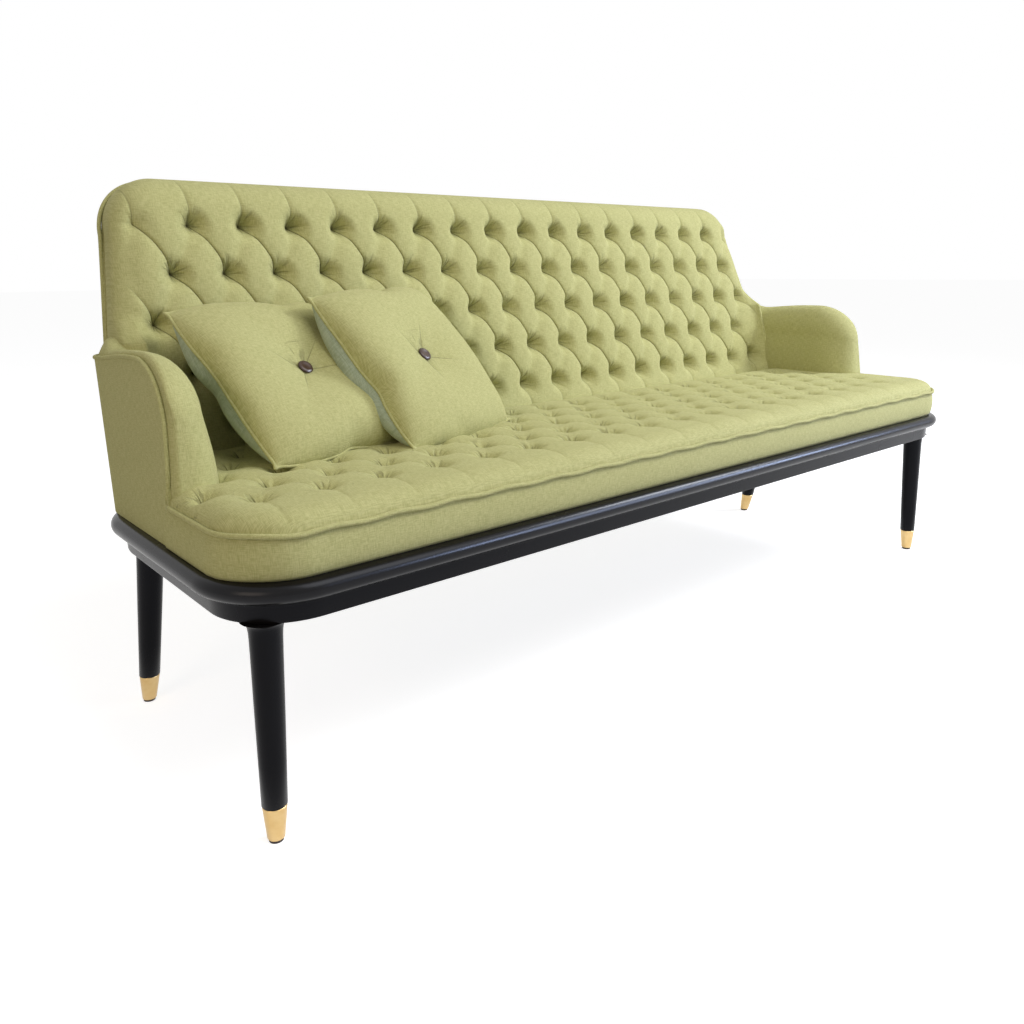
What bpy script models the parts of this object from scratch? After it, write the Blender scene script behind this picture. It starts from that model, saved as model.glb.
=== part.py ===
"""Three-seat tufted sofa on a black moulded base, with two loose cushions.

Metres, +Z up. X runs along the sofa, the front faces -Y, and the origin is on
the floor under the middle of the sofa.
"""
import math

import bmesh
import bpy
from mathutils import Matrix, Vector
from mathutils.bvhtree import BVHTree

# Overall sizes
OVERALL_LENGTH = 1.960
OVERALL_DEPTH = 0.750
OVERALL_HEIGHT = 0.915
BASE_DEPTH = 0.585
LEG_HEIGHT = 0.323
ARM_HEIGHT = 0.645
BOXING_HEIGHT = 0.060

# Fits shared by the whole sofa
FIT = 0.0003
CUT_OVERRUN = 0.002
WELT_RADIUS = 0.0035
COVER_THICKNESS = 0.005
SAME_PLACE = 0.000001

# Base: apron, bullnose moulding, corner blocks
APRON_HEIGHT = 0.027
NOSE_HEIGHT = 0.031
NOSE_OVERHANG = 0.020
APRON_EDGE = 0.005
STEP_SIZE = 0.004
RAIL_THICKNESS = 0.050
CORNER_RADIUS = 0.110
NOSE_SEGMENTS = 6
EDGE_SEGMENTS = 2
CORNER_SEGMENTS = 8

# Legs, ferrules, glides and bolts
LEG_INSET = 0.049
LEG_TOP_RADIUS = 0.022
LEG_FLARE = 0.0035
LEG_FLARE_HEIGHT = 0.012
LEG_SPLAY_OUT = 0.020
LEG_SPLAY_FRONT = 0.011
LEG_SPLAY_REAR = 0.068
FERRULE_HEIGHT = 0.050
FERRULE_TOP_RADIUS = 0.0172
FERRULE_FOOT_RADIUS = 0.0122
FERRULE_WALL = 0.0012
GLIDE_HEIGHT = 0.0045
GLIDE_RADIUS = 0.0105
GLIDE_EDGE = 0.001
BOLT_RADIUS = 0.004
BOLT_IN_LEG = 0.045
BOLT_IN_BLOCK = 0.035
TURNED_SIDES = 20
BOLT_SIDES = 12

# Deck, cross rails and dust cover
DECK_THICKNESS = 0.018
CROSS_RAIL_HEIGHT = 0.032
CROSS_RAIL_WIDTH = 0.045
CROSS_RAIL_COUNT = 3
DUST_COVER_THICKNESS = 0.001
DUST_COVER_INSET = 0.014
DUST_COVER_LEG_GAP = 0.012

# Back: layers from the rear face forwards, and its outline
BACK_SETBACK = 0.0025
BACK_FRAME_DEPTH = 0.025
BACK_SIDE_INSET = 0.0525
BACK_CORNER_RADIUS = 0.095
BACK_BOARD_TOP_INSET = 0.008
BACK_RIM = 0.012
BACK_POST_WIDTH = 0.050
BACK_POST_COUNT = 4
BACK_RAIL_HEIGHT = 0.045
SIDE_LEAN = 0.070
BACK_SIDE_LEAN = 0.200
SIDE_SETBACK = 0.0075
REAR_CORNER_RADIUS = 0.060
REAR_CORNER_SEGMENTS = 6
REAR_CORNER_GAP = 0.001

# Tufting, shared by back and seat
TUFT_PITCH = 0.0975
TUFT_EDGE_ROOM = 0.060
TUFT_SHARP_ANGLE = 20
BACK_TUFT_TOP_DROP = 0.080
BACK_TUFT_ROW_STEP = 0.0835
BACK_TUFT_FOOT_ROOM = 0.100
BACK_PIT_DEPTH = 0.027
BACK_PLEAT_DEPTH = 0.034
BACK_PUFF_DEPTH = 0.054
BACK_EDGE_DEPTH = 0.030
BACK_FOOT_DEPTH = 0.052
BACK_ROLL_DROP = 0.036
BACK_SEAT_ROW_DROP = 0.040
SEAT_ROW_STEP = 0.0705
SEAT_REAR_ROOM = 0.080
ARM_FRONT_ROW_COUNT = 2
SEAT_FIRST_ROW_INSET = 0.1075
SEAT_SHOULDER = 0.034
SEAT_PIT_RISE = 0.006
SEAT_PLEAT_RISE = 0.011
SEAT_PUFF_RISE = 0.026
SEAT_SHOULDER_RISE = 0.020
SEAT_REAR_RISE = 0.014
SEAT_CORNER_RADIUS = 0.094
BOXING_BULGE = 0.003
SEAT_WELT_GAP = 0.0012

# Arms
ARM_WIDTH = 0.0825
ARM_FRONT_ROUND = 0.075
ARM_FRONT_LEAN = 0.130
ARM_FRONT_FULL = 0.022
ARM_FRONT_PLAN = 0.045
ARM_NOSE_TAPER_INNER = 0.030
ARM_NOSE_TAPER_OUTER = 0.010
ARM_CREST_ROUND = 0.030
ARM_OUTER_ROUND = 0.012
ARM_PANEL_DROP = 0.012
ARM_BOARD_THICKNESS = 0.018
ARM_BOARD_FRONT = 0.040
ARM_BOARD_REAR = 0.030
ARM_BOARD_DROP = 0.050
ARM_WEDGE_WIDTH = 0.006

# Loose cushions
CUSHION_SIDE = 0.325
CUSHION_THICKNESS = 0.105
CUSHION_DRAW_IN = 0.022
CUSHION_CROWN_SHARE = 0.55
CUSHION_CELL_COUNT = 12
CUSHION_TUFT_DEPTH = 0.030
CUSHION_TUFT_SPREAD = 0.040
CUSHION_WELT_RADIUS = 0.0025
CUSHION_WELT_POINT_COUNT = 12
WELT_TIP_SHARE = 2.15
SETTLE_STEP_COUNT = 12
BUTTON_RADIUS = 0.013
BUTTON_HEIGHT = 0.006
BUTTON_SIDES = 16
LEFT_CUSHION_ARM_GAP = 0.080
LEFT_CUSHION_TURN = 14.5
LEFT_CUSHION_LEAN = 46.5
LEFT_CUSHION_FORWARD = 0.012
RIGHT_CUSHION_STEP = 0.242
RIGHT_CUSHION_TURN = 20.0
RIGHT_CUSHION_LEAN = 41.0
RIGHT_CUSHION_FORWARD = 0.034

# Places worked out from the sizes above
HALF_LENGTH = OVERALL_LENGTH / 2
FRONT_Y = -OVERALL_DEPTH / 2
REAR_Y = FRONT_Y + BASE_DEPTH
APRON_HALF = HALF_LENGTH - NOSE_OVERHANG
APRON_FRONT = FRONT_Y + NOSE_OVERHANG
APRON_REAR = REAR_Y - NOSE_OVERHANG
RAIL_TOP = LEG_HEIGHT + APRON_HEIGHT + NOSE_HEIGHT
SEAT_EDGE_Z = RAIL_TOP + BOXING_HEIGHT
SEAT_TOP_Z = SEAT_EDGE_Z + SEAT_PUFF_RISE
BACK_FOOT_Y = APRON_REAR - BACK_SETBACK
BOARD_TOP_Z = OVERALL_HEIGHT - BACK_BOARD_TOP_INSET
BACK_RAKE = (OVERALL_DEPTH / 2 - WELT_RADIUS - BACK_FOOT_Y) / (BOARD_TOP_Z - RAIL_TOP)
PAD_REAR = COVER_THICKNESS + FIT + BACK_FRAME_DEPTH + FIT
PAD_FOOT_FRONT = PAD_REAR + BACK_FOOT_DEPTH
SIDE_FOOT_X = APRON_HALF - SIDE_SETBACK
SEAT_HALF = SIDE_FOOT_X
BACK_HALF_WIDTH = SIDE_FOOT_X - BACK_SIDE_INSET
ARM_INNER_X = SIDE_FOOT_X - ARM_WIDTH
SEAT_FRONT_Y = APRON_FRONT + BACK_SETBACK
HALF_PITCH = TUFT_PITCH / 2
TUFT_REACH = int((BACK_HALF_WIDTH - TUFT_EDGE_ROOM) / HALF_PITCH)
BACK_TOP_TUFT_Z = OVERALL_HEIGHT - BACK_TUFT_TOP_DROP
BACK_TUFT_RUN = BACK_TOP_TUFT_Z - RAIL_TOP - BACK_TUFT_FOOT_ROOM
BACK_ROW_COUNT = int(BACK_TUFT_RUN / BACK_TUFT_ROW_STEP) + 1
FIRST_SEAT_ROW_Y = SEAT_FRONT_Y + SEAT_FIRST_ROW_INSET
ARM_FRONT_Y = FIRST_SEAT_ROW_Y + ARM_FRONT_ROW_COUNT * SEAT_ROW_STEP - ARM_FRONT_FULL + FIT


def back_y(height, layer=0.0):
    """Depth place of the raked back at a height, a layer's distance in front of its rear face."""
    return BACK_FOOT_Y + BACK_RAKE * (height - RAIL_TOP) - layer


def side_x(height):
    """Outer face of the arm side, which leans in a little as it rises."""
    return SIDE_FOOT_X - SIDE_LEAN * (height - RAIL_TOP)


def back_half_width(height):
    """Half the width of the back, narrower above the arms."""
    return BACK_HALF_WIDTH - BACK_SIDE_LEAN * max(0.0, height - ARM_HEIGHT)


def arm_front_y(height, distance=0.0):
    """Front of an arm at a height, or a plane parallel to it a distance behind."""
    return ARM_FRONT_Y + distance + ARM_FRONT_LEAN * (height - RAIL_TOP)


def clear_scene():
    for old in list(bpy.data.objects):
        bpy.data.objects.remove(old, do_unlink=True)


def make_material(name, color, roughness, metallic=0.0):
    """A Principled material in a plain colour."""
    material = bpy.data.materials.new(name)
    material.use_nodes = True
    shader = material.node_tree.nodes["Principled BSDF"]
    shader.inputs["Base Color"].default_value = (*color, 1.0)
    shader.inputs["Roughness"].default_value = roughness
    shader.inputs["Metallic"].default_value = metallic
    material.diffuse_color = (*color, 1.0)
    return material


def add_object(name, bm, material, smooth_angle=None):
    """Turn a finished bmesh into a named object with its faces pointing out."""
    bmesh.ops.recalc_face_normals(bm, faces=bm.faces)
    mesh = bpy.data.meshes.new(name)
    bm.to_mesh(mesh)
    bm.free()
    mesh.materials.append(material)
    if smooth_angle is not None:
        mesh.shade_smooth()
        mesh.set_sharp_from_angle(angle=math.radians(smooth_angle))
    piece = bpy.data.objects.new(name, mesh)
    bpy.context.scene.collection.objects.link(piece)
    return piece


def loft(sections):
    """A closed body through rings of points that all have the same count."""
    bm = bmesh.new()
    rings = [[bm.verts.new(point) for point in section] for section in sections]
    count = len(rings[0])
    for near, far in zip(rings, rings[1:]):
        for index in range(count):
            after = (index + 1) % count
            bm.faces.new((near[index], near[after], far[after], far[index]))
    bm.faces.new(rings[0])
    bm.faces.new(rings[-1])
    return bm


def block(low, high):
    """A box between two opposite corners."""
    bm = bmesh.new()
    bmesh.ops.create_cube(bm, size=1.0)
    size = Vector(high) - Vector(low)
    middle = (Vector(high) + Vector(low)) / 2
    bmesh.ops.scale(bm, vec=size, verts=bm.verts)
    bmesh.ops.translate(bm, vec=middle, verts=bm.verts)
    return bm


def prism(outline, low, high):
    """An upright body from a plan outline, between two heights."""
    bm = bmesh.new()
    base = bm.faces.new([bm.verts.new((x, y, low)) for x, y in outline])
    grown = bmesh.ops.extrude_face_region(bm, geom=[base])
    top = [item for item in grown["geom"] if isinstance(item, bmesh.types.BMVert)]
    bmesh.ops.translate(bm, vec=(0, 0, high - low), verts=top)
    return bm


def rounded_rectangle(half_x, front, rear, radius, segments):
    """Plan outline with four round corners, anticlockwise from the front right."""
    corners = (
        (half_x - radius, front + radius, -90),
        (half_x - radius, rear - radius, 0),
        (-half_x + radius, rear - radius, 90),
        (-half_x + radius, front + radius, 180),
    )
    outline = []
    for centre_x, centre_y, start in corners:
        for step in range(segments + 1):
            angle = math.radians(start + 90 * step / segments)
            outline.append((centre_x + radius * math.cos(angle), centre_y + radius * math.sin(angle)))
    return outline


def turned(profile, sides, centre_at):
    """A turned body: (radius, height) points spun round, then moved so each height has its centre."""
    bm = bmesh.new()
    points = [bm.verts.new((radius, 0, height)) for radius, height in profile]
    edges = [bm.edges.new(pair) for pair in zip(points, points[1:])]
    bmesh.ops.spin(bm, geom=points + edges, cent=(0, 0, 0), axis=(0, 0, 1),
                   angle=math.tau, steps=sides, use_merge=True)
    bmesh.ops.remove_doubles(bm, verts=bm.verts, dist=SAME_PLACE)
    for vertex in bm.verts:
        centre = centre_at(vertex.co.z)
        vertex.co.x += centre.x
        vertex.co.y += centre.y
    return bm


def tube(name, points, radius, material, closed=False):
    """A round cord sewn along a seam."""
    curve = bpy.data.curves.new(name, "CURVE")
    curve.dimensions = "3D"
    curve.bevel_depth = radius
    curve.bevel_resolution = 1
    curve.use_fill_caps = True
    spline = curve.splines.new("POLY")
    spline.points.add(len(points) - 1)
    for slot, point in zip(spline.points, points):
        slot.co = (*point, 1.0)
    spline.use_cyclic_u = closed
    curve.materials.append(material)
    piece = bpy.data.objects.new(name, curve)
    bpy.context.scene.collection.objects.link(piece)
    return piece


def cut(piece, cutter_name, cutter_bm):
    """Take a hidden cutter's shape out of a piece."""
    cutter = add_object(cutter_name, cutter_bm, piece.data.materials[0])
    cutter.hide_render = True
    cutter.display_type = "WIRE"
    modifier = piece.modifiers.new(cutter_name, "BOOLEAN")
    modifier.operation = "DIFFERENCE"
    modifier.object = cutter


# Base


def moulding_profile():
    """Section of apron and bullnose: distance out from the apron's face, and height over its foot."""
    points = [(-RAIL_THICKNESS, 0.0)]
    for step in range(EDGE_SEGMENTS + 1):
        angle = math.radians(-90 + 90 * step / EDGE_SEGMENTS)
        points.append((APRON_EDGE * (math.cos(angle) - 1), APRON_EDGE * (math.sin(angle) + 1)))
    points.append((0.0, APRON_HEIGHT - STEP_SIZE))
    points.append((STEP_SIZE, APRON_HEIGHT - STEP_SIZE))
    points.append((STEP_SIZE, APRON_HEIGHT))
    radius = NOSE_HEIGHT / 2
    for step in range(NOSE_SEGMENTS + 1):
        angle = math.radians(-90 + 180 * step / NOSE_SEGMENTS)
        out = NOSE_OVERHANG - radius + radius * math.cos(angle)
        points.append((out, APRON_HEIGHT + radius + radius * math.sin(angle)))
    points.append((-RAIL_THICKNESS, APRON_HEIGHT + NOSE_HEIGHT))
    return points


def add_rail(name, start, end, outward, material):
    """A straight length of the moulding, its apron face through start and end."""
    sections = []
    for place in (start, end):
        ring = []
        for out, up in moulding_profile():
            ring.append(Vector((place[0], place[1], LEG_HEIGHT + up)) + out * Vector((*outward, 0)))
        sections.append(ring)
    return add_object(name, loft(sections), material, 35)


def add_corner_block(name, centre, start_angle, material):
    """A quarter turn of the moulding, which the leg's bolt goes up into."""
    sections = []
    trim = FIT / CORNER_RADIUS
    for step in range(CORNER_SEGMENTS + 1):
        angle = math.radians(start_angle) + trim
        angle += (math.radians(90) - 2 * trim) * step / CORNER_SEGMENTS
        direction = Vector((math.cos(angle), math.sin(angle), 0))
        ring = []
        for out, up in moulding_profile():
            middle = Vector((centre[0], centre[1], LEG_HEIGHT + up))
            ring.append(middle + (CORNER_RADIUS + out) * direction)
        sections.append(ring)
    return add_object(name, loft(sections), material, 35)


def corner_places():
    """For each corner: its name, the side it is on in X and in Y, and its arc's first angle."""
    return (
        ("front_left", -1, -1, 180),
        ("front_right", 1, -1, 270),
        ("rear_right", 1, 1, 0),
        ("rear_left", -1, 1, 90),
    )


def leg_top(side_in_x, side_in_y):
    """Centre of a leg's top."""
    apron_y = APRON_FRONT if side_in_y < 0 else APRON_REAR
    return Vector((side_in_x * (APRON_HALF - LEG_INSET), apron_y - side_in_y * LEG_INSET, LEG_HEIGHT))


def leg_centre(side_in_x, side_in_y):
    """A function that gives the leaning leg's centre at a height."""
    top = leg_top(side_in_x, side_in_y)
    splay_y = LEG_SPLAY_FRONT if side_in_y < 0 else LEG_SPLAY_REAR
    foot = Vector((top.x + side_in_x * LEG_SPLAY_OUT, top.y + side_in_y * splay_y, 0))
    return lambda height: foot.lerp(top, height / LEG_HEIGHT)


def bolt_body(centre, radius, low, high):
    """A plain round shank."""
    profile = [(0.0, low), (radius, low), (radius, high), (0.0, high)]
    return turned(profile, BOLT_SIDES, lambda height: centre)


def add_base(black, steel, raw_wood, cloth):
    front_low = (-APRON_HALF + CORNER_RADIUS + FIT, APRON_FRONT)
    front_high = (APRON_HALF - CORNER_RADIUS - FIT, APRON_FRONT)
    add_rail("front_rail", front_low, front_high, (0, -1), black)
    add_rail("rear_rail", (front_low[0], APRON_REAR), (front_high[0], APRON_REAR), (0, 1), black)
    side_low = APRON_FRONT + CORNER_RADIUS + FIT
    side_high = APRON_REAR - CORNER_RADIUS - FIT
    add_rail("left_rail", (-APRON_HALF, side_low), (-APRON_HALF, side_high), (-1, 0), black)
    add_rail("right_rail", (APRON_HALF, side_low), (APRON_HALF, side_high), (1, 0), black)

    for name, side_in_x, side_in_y, start_angle in corner_places():
        apron_y = APRON_FRONT if side_in_y < 0 else APRON_REAR
        centre = (side_in_x * (APRON_HALF - CORNER_RADIUS), apron_y - side_in_y * CORNER_RADIUS)
        corner = add_corner_block(f"corner_block_{name}", centre, start_angle, black)
        top = leg_top(side_in_x, side_in_y)
        low = LEG_HEIGHT - BOLT_IN_LEG
        high = LEG_HEIGHT + BOLT_IN_BLOCK
        hole = BOLT_RADIUS + FIT
        add_object(f"leg_bolt_{name}", bolt_body(top, BOLT_RADIUS, low, high), steel, 35)
        cut(corner, f"block_hole_{name}", bolt_body(top, hole, low, high + FIT))
        leg = add_leg(name, leg_centre(side_in_x, side_in_y), black)
        cut(leg, f"leg_hole_{name}", bolt_body(top, hole, low - FIT, high))

    add_deck(raw_wood, cloth)


def add_leg(name, centre_at, material):
    """The turned leg, with a neck that fits in its ferrule and a small flare under the apron."""
    foot = GLIDE_HEIGHT + FERRULE_WALL + FIT
    shoulder = GLIDE_HEIGHT + FERRULE_HEIGHT + FIT
    neck = FERRULE_WALL + FIT
    top = LEG_HEIGHT - FIT
    flare_start = top - LEG_FLARE_HEIGHT
    profile = [
        (0.0, foot),
        (FERRULE_FOOT_RADIUS - neck, foot),
        (FERRULE_TOP_RADIUS - neck, shoulder),
        (FERRULE_TOP_RADIUS, shoulder),
        ((FERRULE_TOP_RADIUS + LEG_TOP_RADIUS) / 2, (shoulder + flare_start) / 2),
        (LEG_TOP_RADIUS, flare_start),
        (LEG_TOP_RADIUS + LEG_FLARE / 4, top - LEG_FLARE_HEIGHT / 2),
        (LEG_TOP_RADIUS + LEG_FLARE, top),
        (0.0, top),
    ]
    return add_object(f"leg_{name}", turned(profile, TURNED_SIDES, centre_at), material, 35)


def add_feet(brass, glide_material):
    """Brass ferrules on the leg ends, and the glides under them."""
    for name, side_in_x, side_in_y, start_angle in corner_places():
        centre_at = leg_centre(side_in_x, side_in_y)
        low = GLIDE_HEIGHT + FIT
        high = GLIDE_HEIGHT + FERRULE_HEIGHT
        profile = [
            (0.0, low),
            (FERRULE_FOOT_RADIUS, low),
            (FERRULE_TOP_RADIUS, high),
            (FERRULE_TOP_RADIUS - FERRULE_WALL, high),
            (FERRULE_FOOT_RADIUS - FERRULE_WALL, GLIDE_HEIGHT + FERRULE_WALL),
            (0.0, GLIDE_HEIGHT + FERRULE_WALL),
        ]
        add_object(f"ferrule_{name}", turned(profile, TURNED_SIDES, centre_at), brass, 35)
        profile = [
            (0.0, 0.0),
            (GLIDE_RADIUS - GLIDE_EDGE, 0.0),
            (GLIDE_RADIUS, GLIDE_EDGE),
            (GLIDE_RADIUS, GLIDE_HEIGHT),
            (0.0, GLIDE_HEIGHT),
        ]
        add_object(f"glide_{name}", turned(profile, TURNED_SIDES, centre_at), glide_material, 35)


def add_deck(raw_wood, cloth):
    """The plywood deck, the cross rails under it and the cloth below."""
    inner_half = APRON_HALF - RAIL_THICKNESS - FIT
    inner_front = APRON_FRONT + RAIL_THICKNESS + FIT
    inner_rear = APRON_REAR - RAIL_THICKNESS - FIT
    inner_radius = CORNER_RADIUS - RAIL_THICKNESS - FIT
    outline = rounded_rectangle(inner_half, inner_front, inner_rear, inner_radius, CORNER_SEGMENTS)
    deck_low = RAIL_TOP - DECK_THICKNESS
    add_object("seat_deck", prism(outline, deck_low, RAIL_TOP), raw_wood)

    rail_high = deck_low - FIT
    spacing = 2 * inner_half / (CROSS_RAIL_COUNT + 1)
    for index in range(CROSS_RAIL_COUNT):
        middle = -inner_half + spacing * (index + 1)
        low = (middle - CROSS_RAIL_WIDTH / 2, inner_front, rail_high - CROSS_RAIL_HEIGHT)
        high = (middle + CROSS_RAIL_WIDTH / 2, inner_rear, rail_high)
        add_object(f"cross_rail_{index + 1}", block(low, high), raw_wood)

    cover_half = APRON_HALF - LEG_INSET - LEG_TOP_RADIUS - DUST_COVER_LEG_GAP
    cover_high = LEG_HEIGHT - FIT
    low = (-cover_half, APRON_FRONT + DUST_COVER_INSET, cover_high - DUST_COVER_THICKNESS)
    high = (cover_half, APRON_REAR - DUST_COVER_INSET, cover_high)
    add_object("dust_cover", block(low, high), cloth)


# Tufted sheets


def between(values, place):
    """Value at a place in a list, halfway between two for a half step."""
    index = min(int(place), len(values) - 2)
    share = place - index
    return values[index] * (1 - share) + values[index + 1] * share


def tufted_sheet(columns, rows, place_point, keep_cell):
    """A sheet with a point at each crossing of columns and rows and one in each cell's middle.

    place_point gets the column and row as numbers, a half in a cell's middle, and
    returns where the point goes. Cells for which keep_cell says no are left out.
    """
    bm = bmesh.new()
    across = len(columns) - 1
    along = len(rows) - 1
    bmesh.ops.create_grid(bm, x_segments=across, y_segments=along, size=1.0)
    dropped = []
    for face in bm.faces:
        middle = face.calc_center_median()
        if not keep_cell((middle.x + 1) * across / 2, (middle.y + 1) * along / 2):
            dropped.append(face)
    bmesh.ops.delete(bm, geom=dropped, context="FACES")
    bmesh.ops.poke(bm, faces=bm.faces)
    for vertex in bm.verts:
        column = round((vertex.co.x + 1) * across) / 2
        row = round((vertex.co.y + 1) * along) / 2
        vertex.co = place_point(column, row)
    return bm


def rim_edges(bm):
    return [edge for edge in bm.edges if edge.is_boundary]


def grow_rim(bm, place):
    """Extrude the open rim once and put each new point where place says."""
    grown = bmesh.ops.extrude_edge_only(bm, edges=rim_edges(bm))
    for item in grown["geom"]:
        if isinstance(item, bmesh.types.BMVert):
            item.co = place(item.co)


def close_rim(bm):
    bmesh.ops.contextual_create(bm, geom=rim_edges(bm))


def tuft_columns():
    """X of the tuft lines and the puff lines between them, over the whole width."""
    return [HALF_PITCH * index for index in range(-TUFT_REACH, TUFT_REACH + 1)]


def is_tuft(column_number, row_number):
    """Tufts sit on alternate columns, shifted by one from row to row."""
    return (column_number + row_number) % 2 == 0


def round_corner(point_x, point_z, half_width, top, radius):
    """Pull a point in to the round top corner of an upright outline."""
    centre_x = half_width - radius
    centre_z = top - radius
    reach_x = abs(point_x) - centre_x
    reach_z = point_z - centre_z
    distance = math.hypot(reach_x, reach_z)
    if reach_x <= 0 or reach_z <= 0 or distance <= radius:
        return point_x, point_z
    share = radius / distance
    return math.copysign(centre_x + reach_x * share, point_x), centre_z + reach_z * share


# Back


def add_back_pad(fabric):
    """The tufted back: pits, puffs and pleats in front, a rim behind that wraps the frame."""
    inner = tuft_columns()
    columns = [-BACK_HALF_WIDTH] + inner + [BACK_HALF_WIDTH]
    tuft_rows = [BACK_TOP_TUFT_Z - BACK_TUFT_ROW_STEP * index for index in range(BACK_ROW_COUNT)]
    seat_row = tuft_rows[-1] - BACK_SEAT_ROW_DROP
    rows = [RAIL_TOP + FIT, seat_row] + tuft_rows[::-1] + [BACK_TOP_TUFT_Z + BACK_ROLL_DROP, OVERALL_HEIGHT]
    first_tuft_row = 2
    last_tuft_row = first_tuft_row + BACK_ROW_COUNT - 1
    roll_row = last_tuft_row + 1

    def depth(column, row):
        number = column - 1 - TUFT_REACH
        on_edge = column in (0, len(columns) - 1)
        if row < first_tuft_row - 0.5:
            return BACK_FOOT_DEPTH
        if row > roll_row or on_edge:
            return BACK_EDGE_DEPTH
        if row < first_tuft_row or row == roll_row:
            return BACK_FOOT_DEPTH if is_tuft(number, row - last_tuft_row) else BACK_PLEAT_DEPTH
        if row != int(row):
            return BACK_PLEAT_DEPTH
        pit = is_tuft(number + 1, row - last_tuft_row) and abs(number) <= TUFT_REACH
        return BACK_PIT_DEPTH if pit else BACK_PUFF_DEPTH

    def place(column, row):
        x = between(columns, column)
        z = between(rows, row)
        half = back_half_width(z)
        if abs(x) > half or column in (0, len(columns) - 1):
            x = math.copysign(half, x)
        x, z = round_corner(x, z, half, OVERALL_HEIGHT, BACK_CORNER_RADIUS)
        return Vector((x, back_y(z, PAD_REAR + depth(column, row)), z))

    bm = tufted_sheet(columns, rows, place, lambda column, row: True)
    middle_z = (RAIL_TOP + OVERALL_HEIGHT) / 2
    rim_x = 1 - BACK_RIM / BACK_HALF_WIDTH
    rim_z = 1 - BACK_RIM / (middle_z - RAIL_TOP)

    def inset(point, layer):
        z = middle_z + (point.z - middle_z) * rim_z
        return Vector((point.x * rim_x, back_y(z, layer), z))

    grow_rim(bm, lambda point: Vector((point.x, back_y(point.z, COVER_THICKNESS + FIT), point.z)))
    grow_rim(bm, lambda point: inset(point, COVER_THICKNESS + FIT))
    grow_rim(bm, lambda point: Vector((point.x, back_y(point.z, PAD_REAR), point.z)))
    close_rim(bm)
    return add_object("back_pad", bm, fabric, TUFT_SHARP_ANGLE)


def back_outline(edge_inset):
    """Outline of the back's rear board as (x, height), anticlockwise from the lower left."""
    top = BOARD_TOP_Z - edge_inset
    radius = BACK_CORNER_RADIUS
    points = [(BACK_HALF_WIDTH - edge_inset, RAIL_TOP + FIT), (BACK_HALF_WIDTH - edge_inset, ARM_HEIGHT)]
    centre_z = top - radius
    centre_x = back_half_width(centre_z) - edge_inset - radius
    for step in range(CORNER_SEGMENTS + 1):
        angle = math.radians(90 * step / CORNER_SEGMENTS)
        points.append((centre_x + radius * math.cos(angle), centre_z + radius * math.sin(angle)))
    return [(-x, z) for x, z in points] + points[::-1]


def add_slab(name, outline, rear_layer, front_layer, material):
    """A flat board that follows the rake, from an (x, height) outline."""
    rings = []
    for layer in (rear_layer, front_layer):
        rings.append([Vector((x, back_y(z, layer), z)) for x, z in outline])
    return add_object(name, loft(rings), material)


def add_back(fabric, raw_wood):
    add_back_pad(fabric)
    add_slab("back_panel", back_outline(0.0), 0.0, COVER_THICKNESS, fabric)

    rear = COVER_THICKNESS + FIT
    front = rear + BACK_FRAME_DEPTH
    half = back_half_width(OVERALL_HEIGHT) * (1 - BACK_RIM / BACK_HALF_WIDTH)
    low = RAIL_TOP + BACK_RIM + FIT
    high = BOARD_TOP_Z - BACK_RIM - BACK_ROLL_DROP / 2
    rail_half = half - BACK_CORNER_RADIUS / 2
    for name, bottom in (("back_bottom_rail", low), ("back_top_rail", high - BACK_RAIL_HEIGHT)):
        top = bottom + BACK_RAIL_HEIGHT
        outline = [(-rail_half, bottom), (rail_half, bottom), (rail_half, top), (-rail_half, top)]
        add_slab(name, outline, rear, front, raw_wood)
    post_low = low + BACK_RAIL_HEIGHT + FIT
    post_high = high - BACK_RAIL_HEIGHT - FIT
    spacing = (2 * rail_half - BACK_POST_WIDTH) / (BACK_POST_COUNT - 1)
    for index in range(BACK_POST_COUNT):
        left = -rail_half + spacing * index
        right = left + BACK_POST_WIDTH
        outline = [(left, post_low), (right, post_low), (right, post_high), (left, post_high)]
        add_slab(f"back_post_{index + 1}", outline, rear, front, raw_wood)


def add_back_welt(fabric):
    """The piping round the edge of the back's rear board, down to the arms."""
    outline = [point for point in back_outline(-WELT_RADIUS - FIT) if point[1] > ARM_HEIGHT - SAME_PLACE]
    lift = Vector((0, 0, WELT_RADIUS + FIT))
    layer = COVER_THICKNESS + FIT - (WELT_RADIUS + FIT) * math.hypot(1, BACK_RAKE)
    path = [Vector((x, back_y(z, layer), z)) for x, z in outline]
    path[0] += lift
    path[-1] += lift
    return tube("back_welt", path, WELT_RADIUS, fabric)


# Seat


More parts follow.
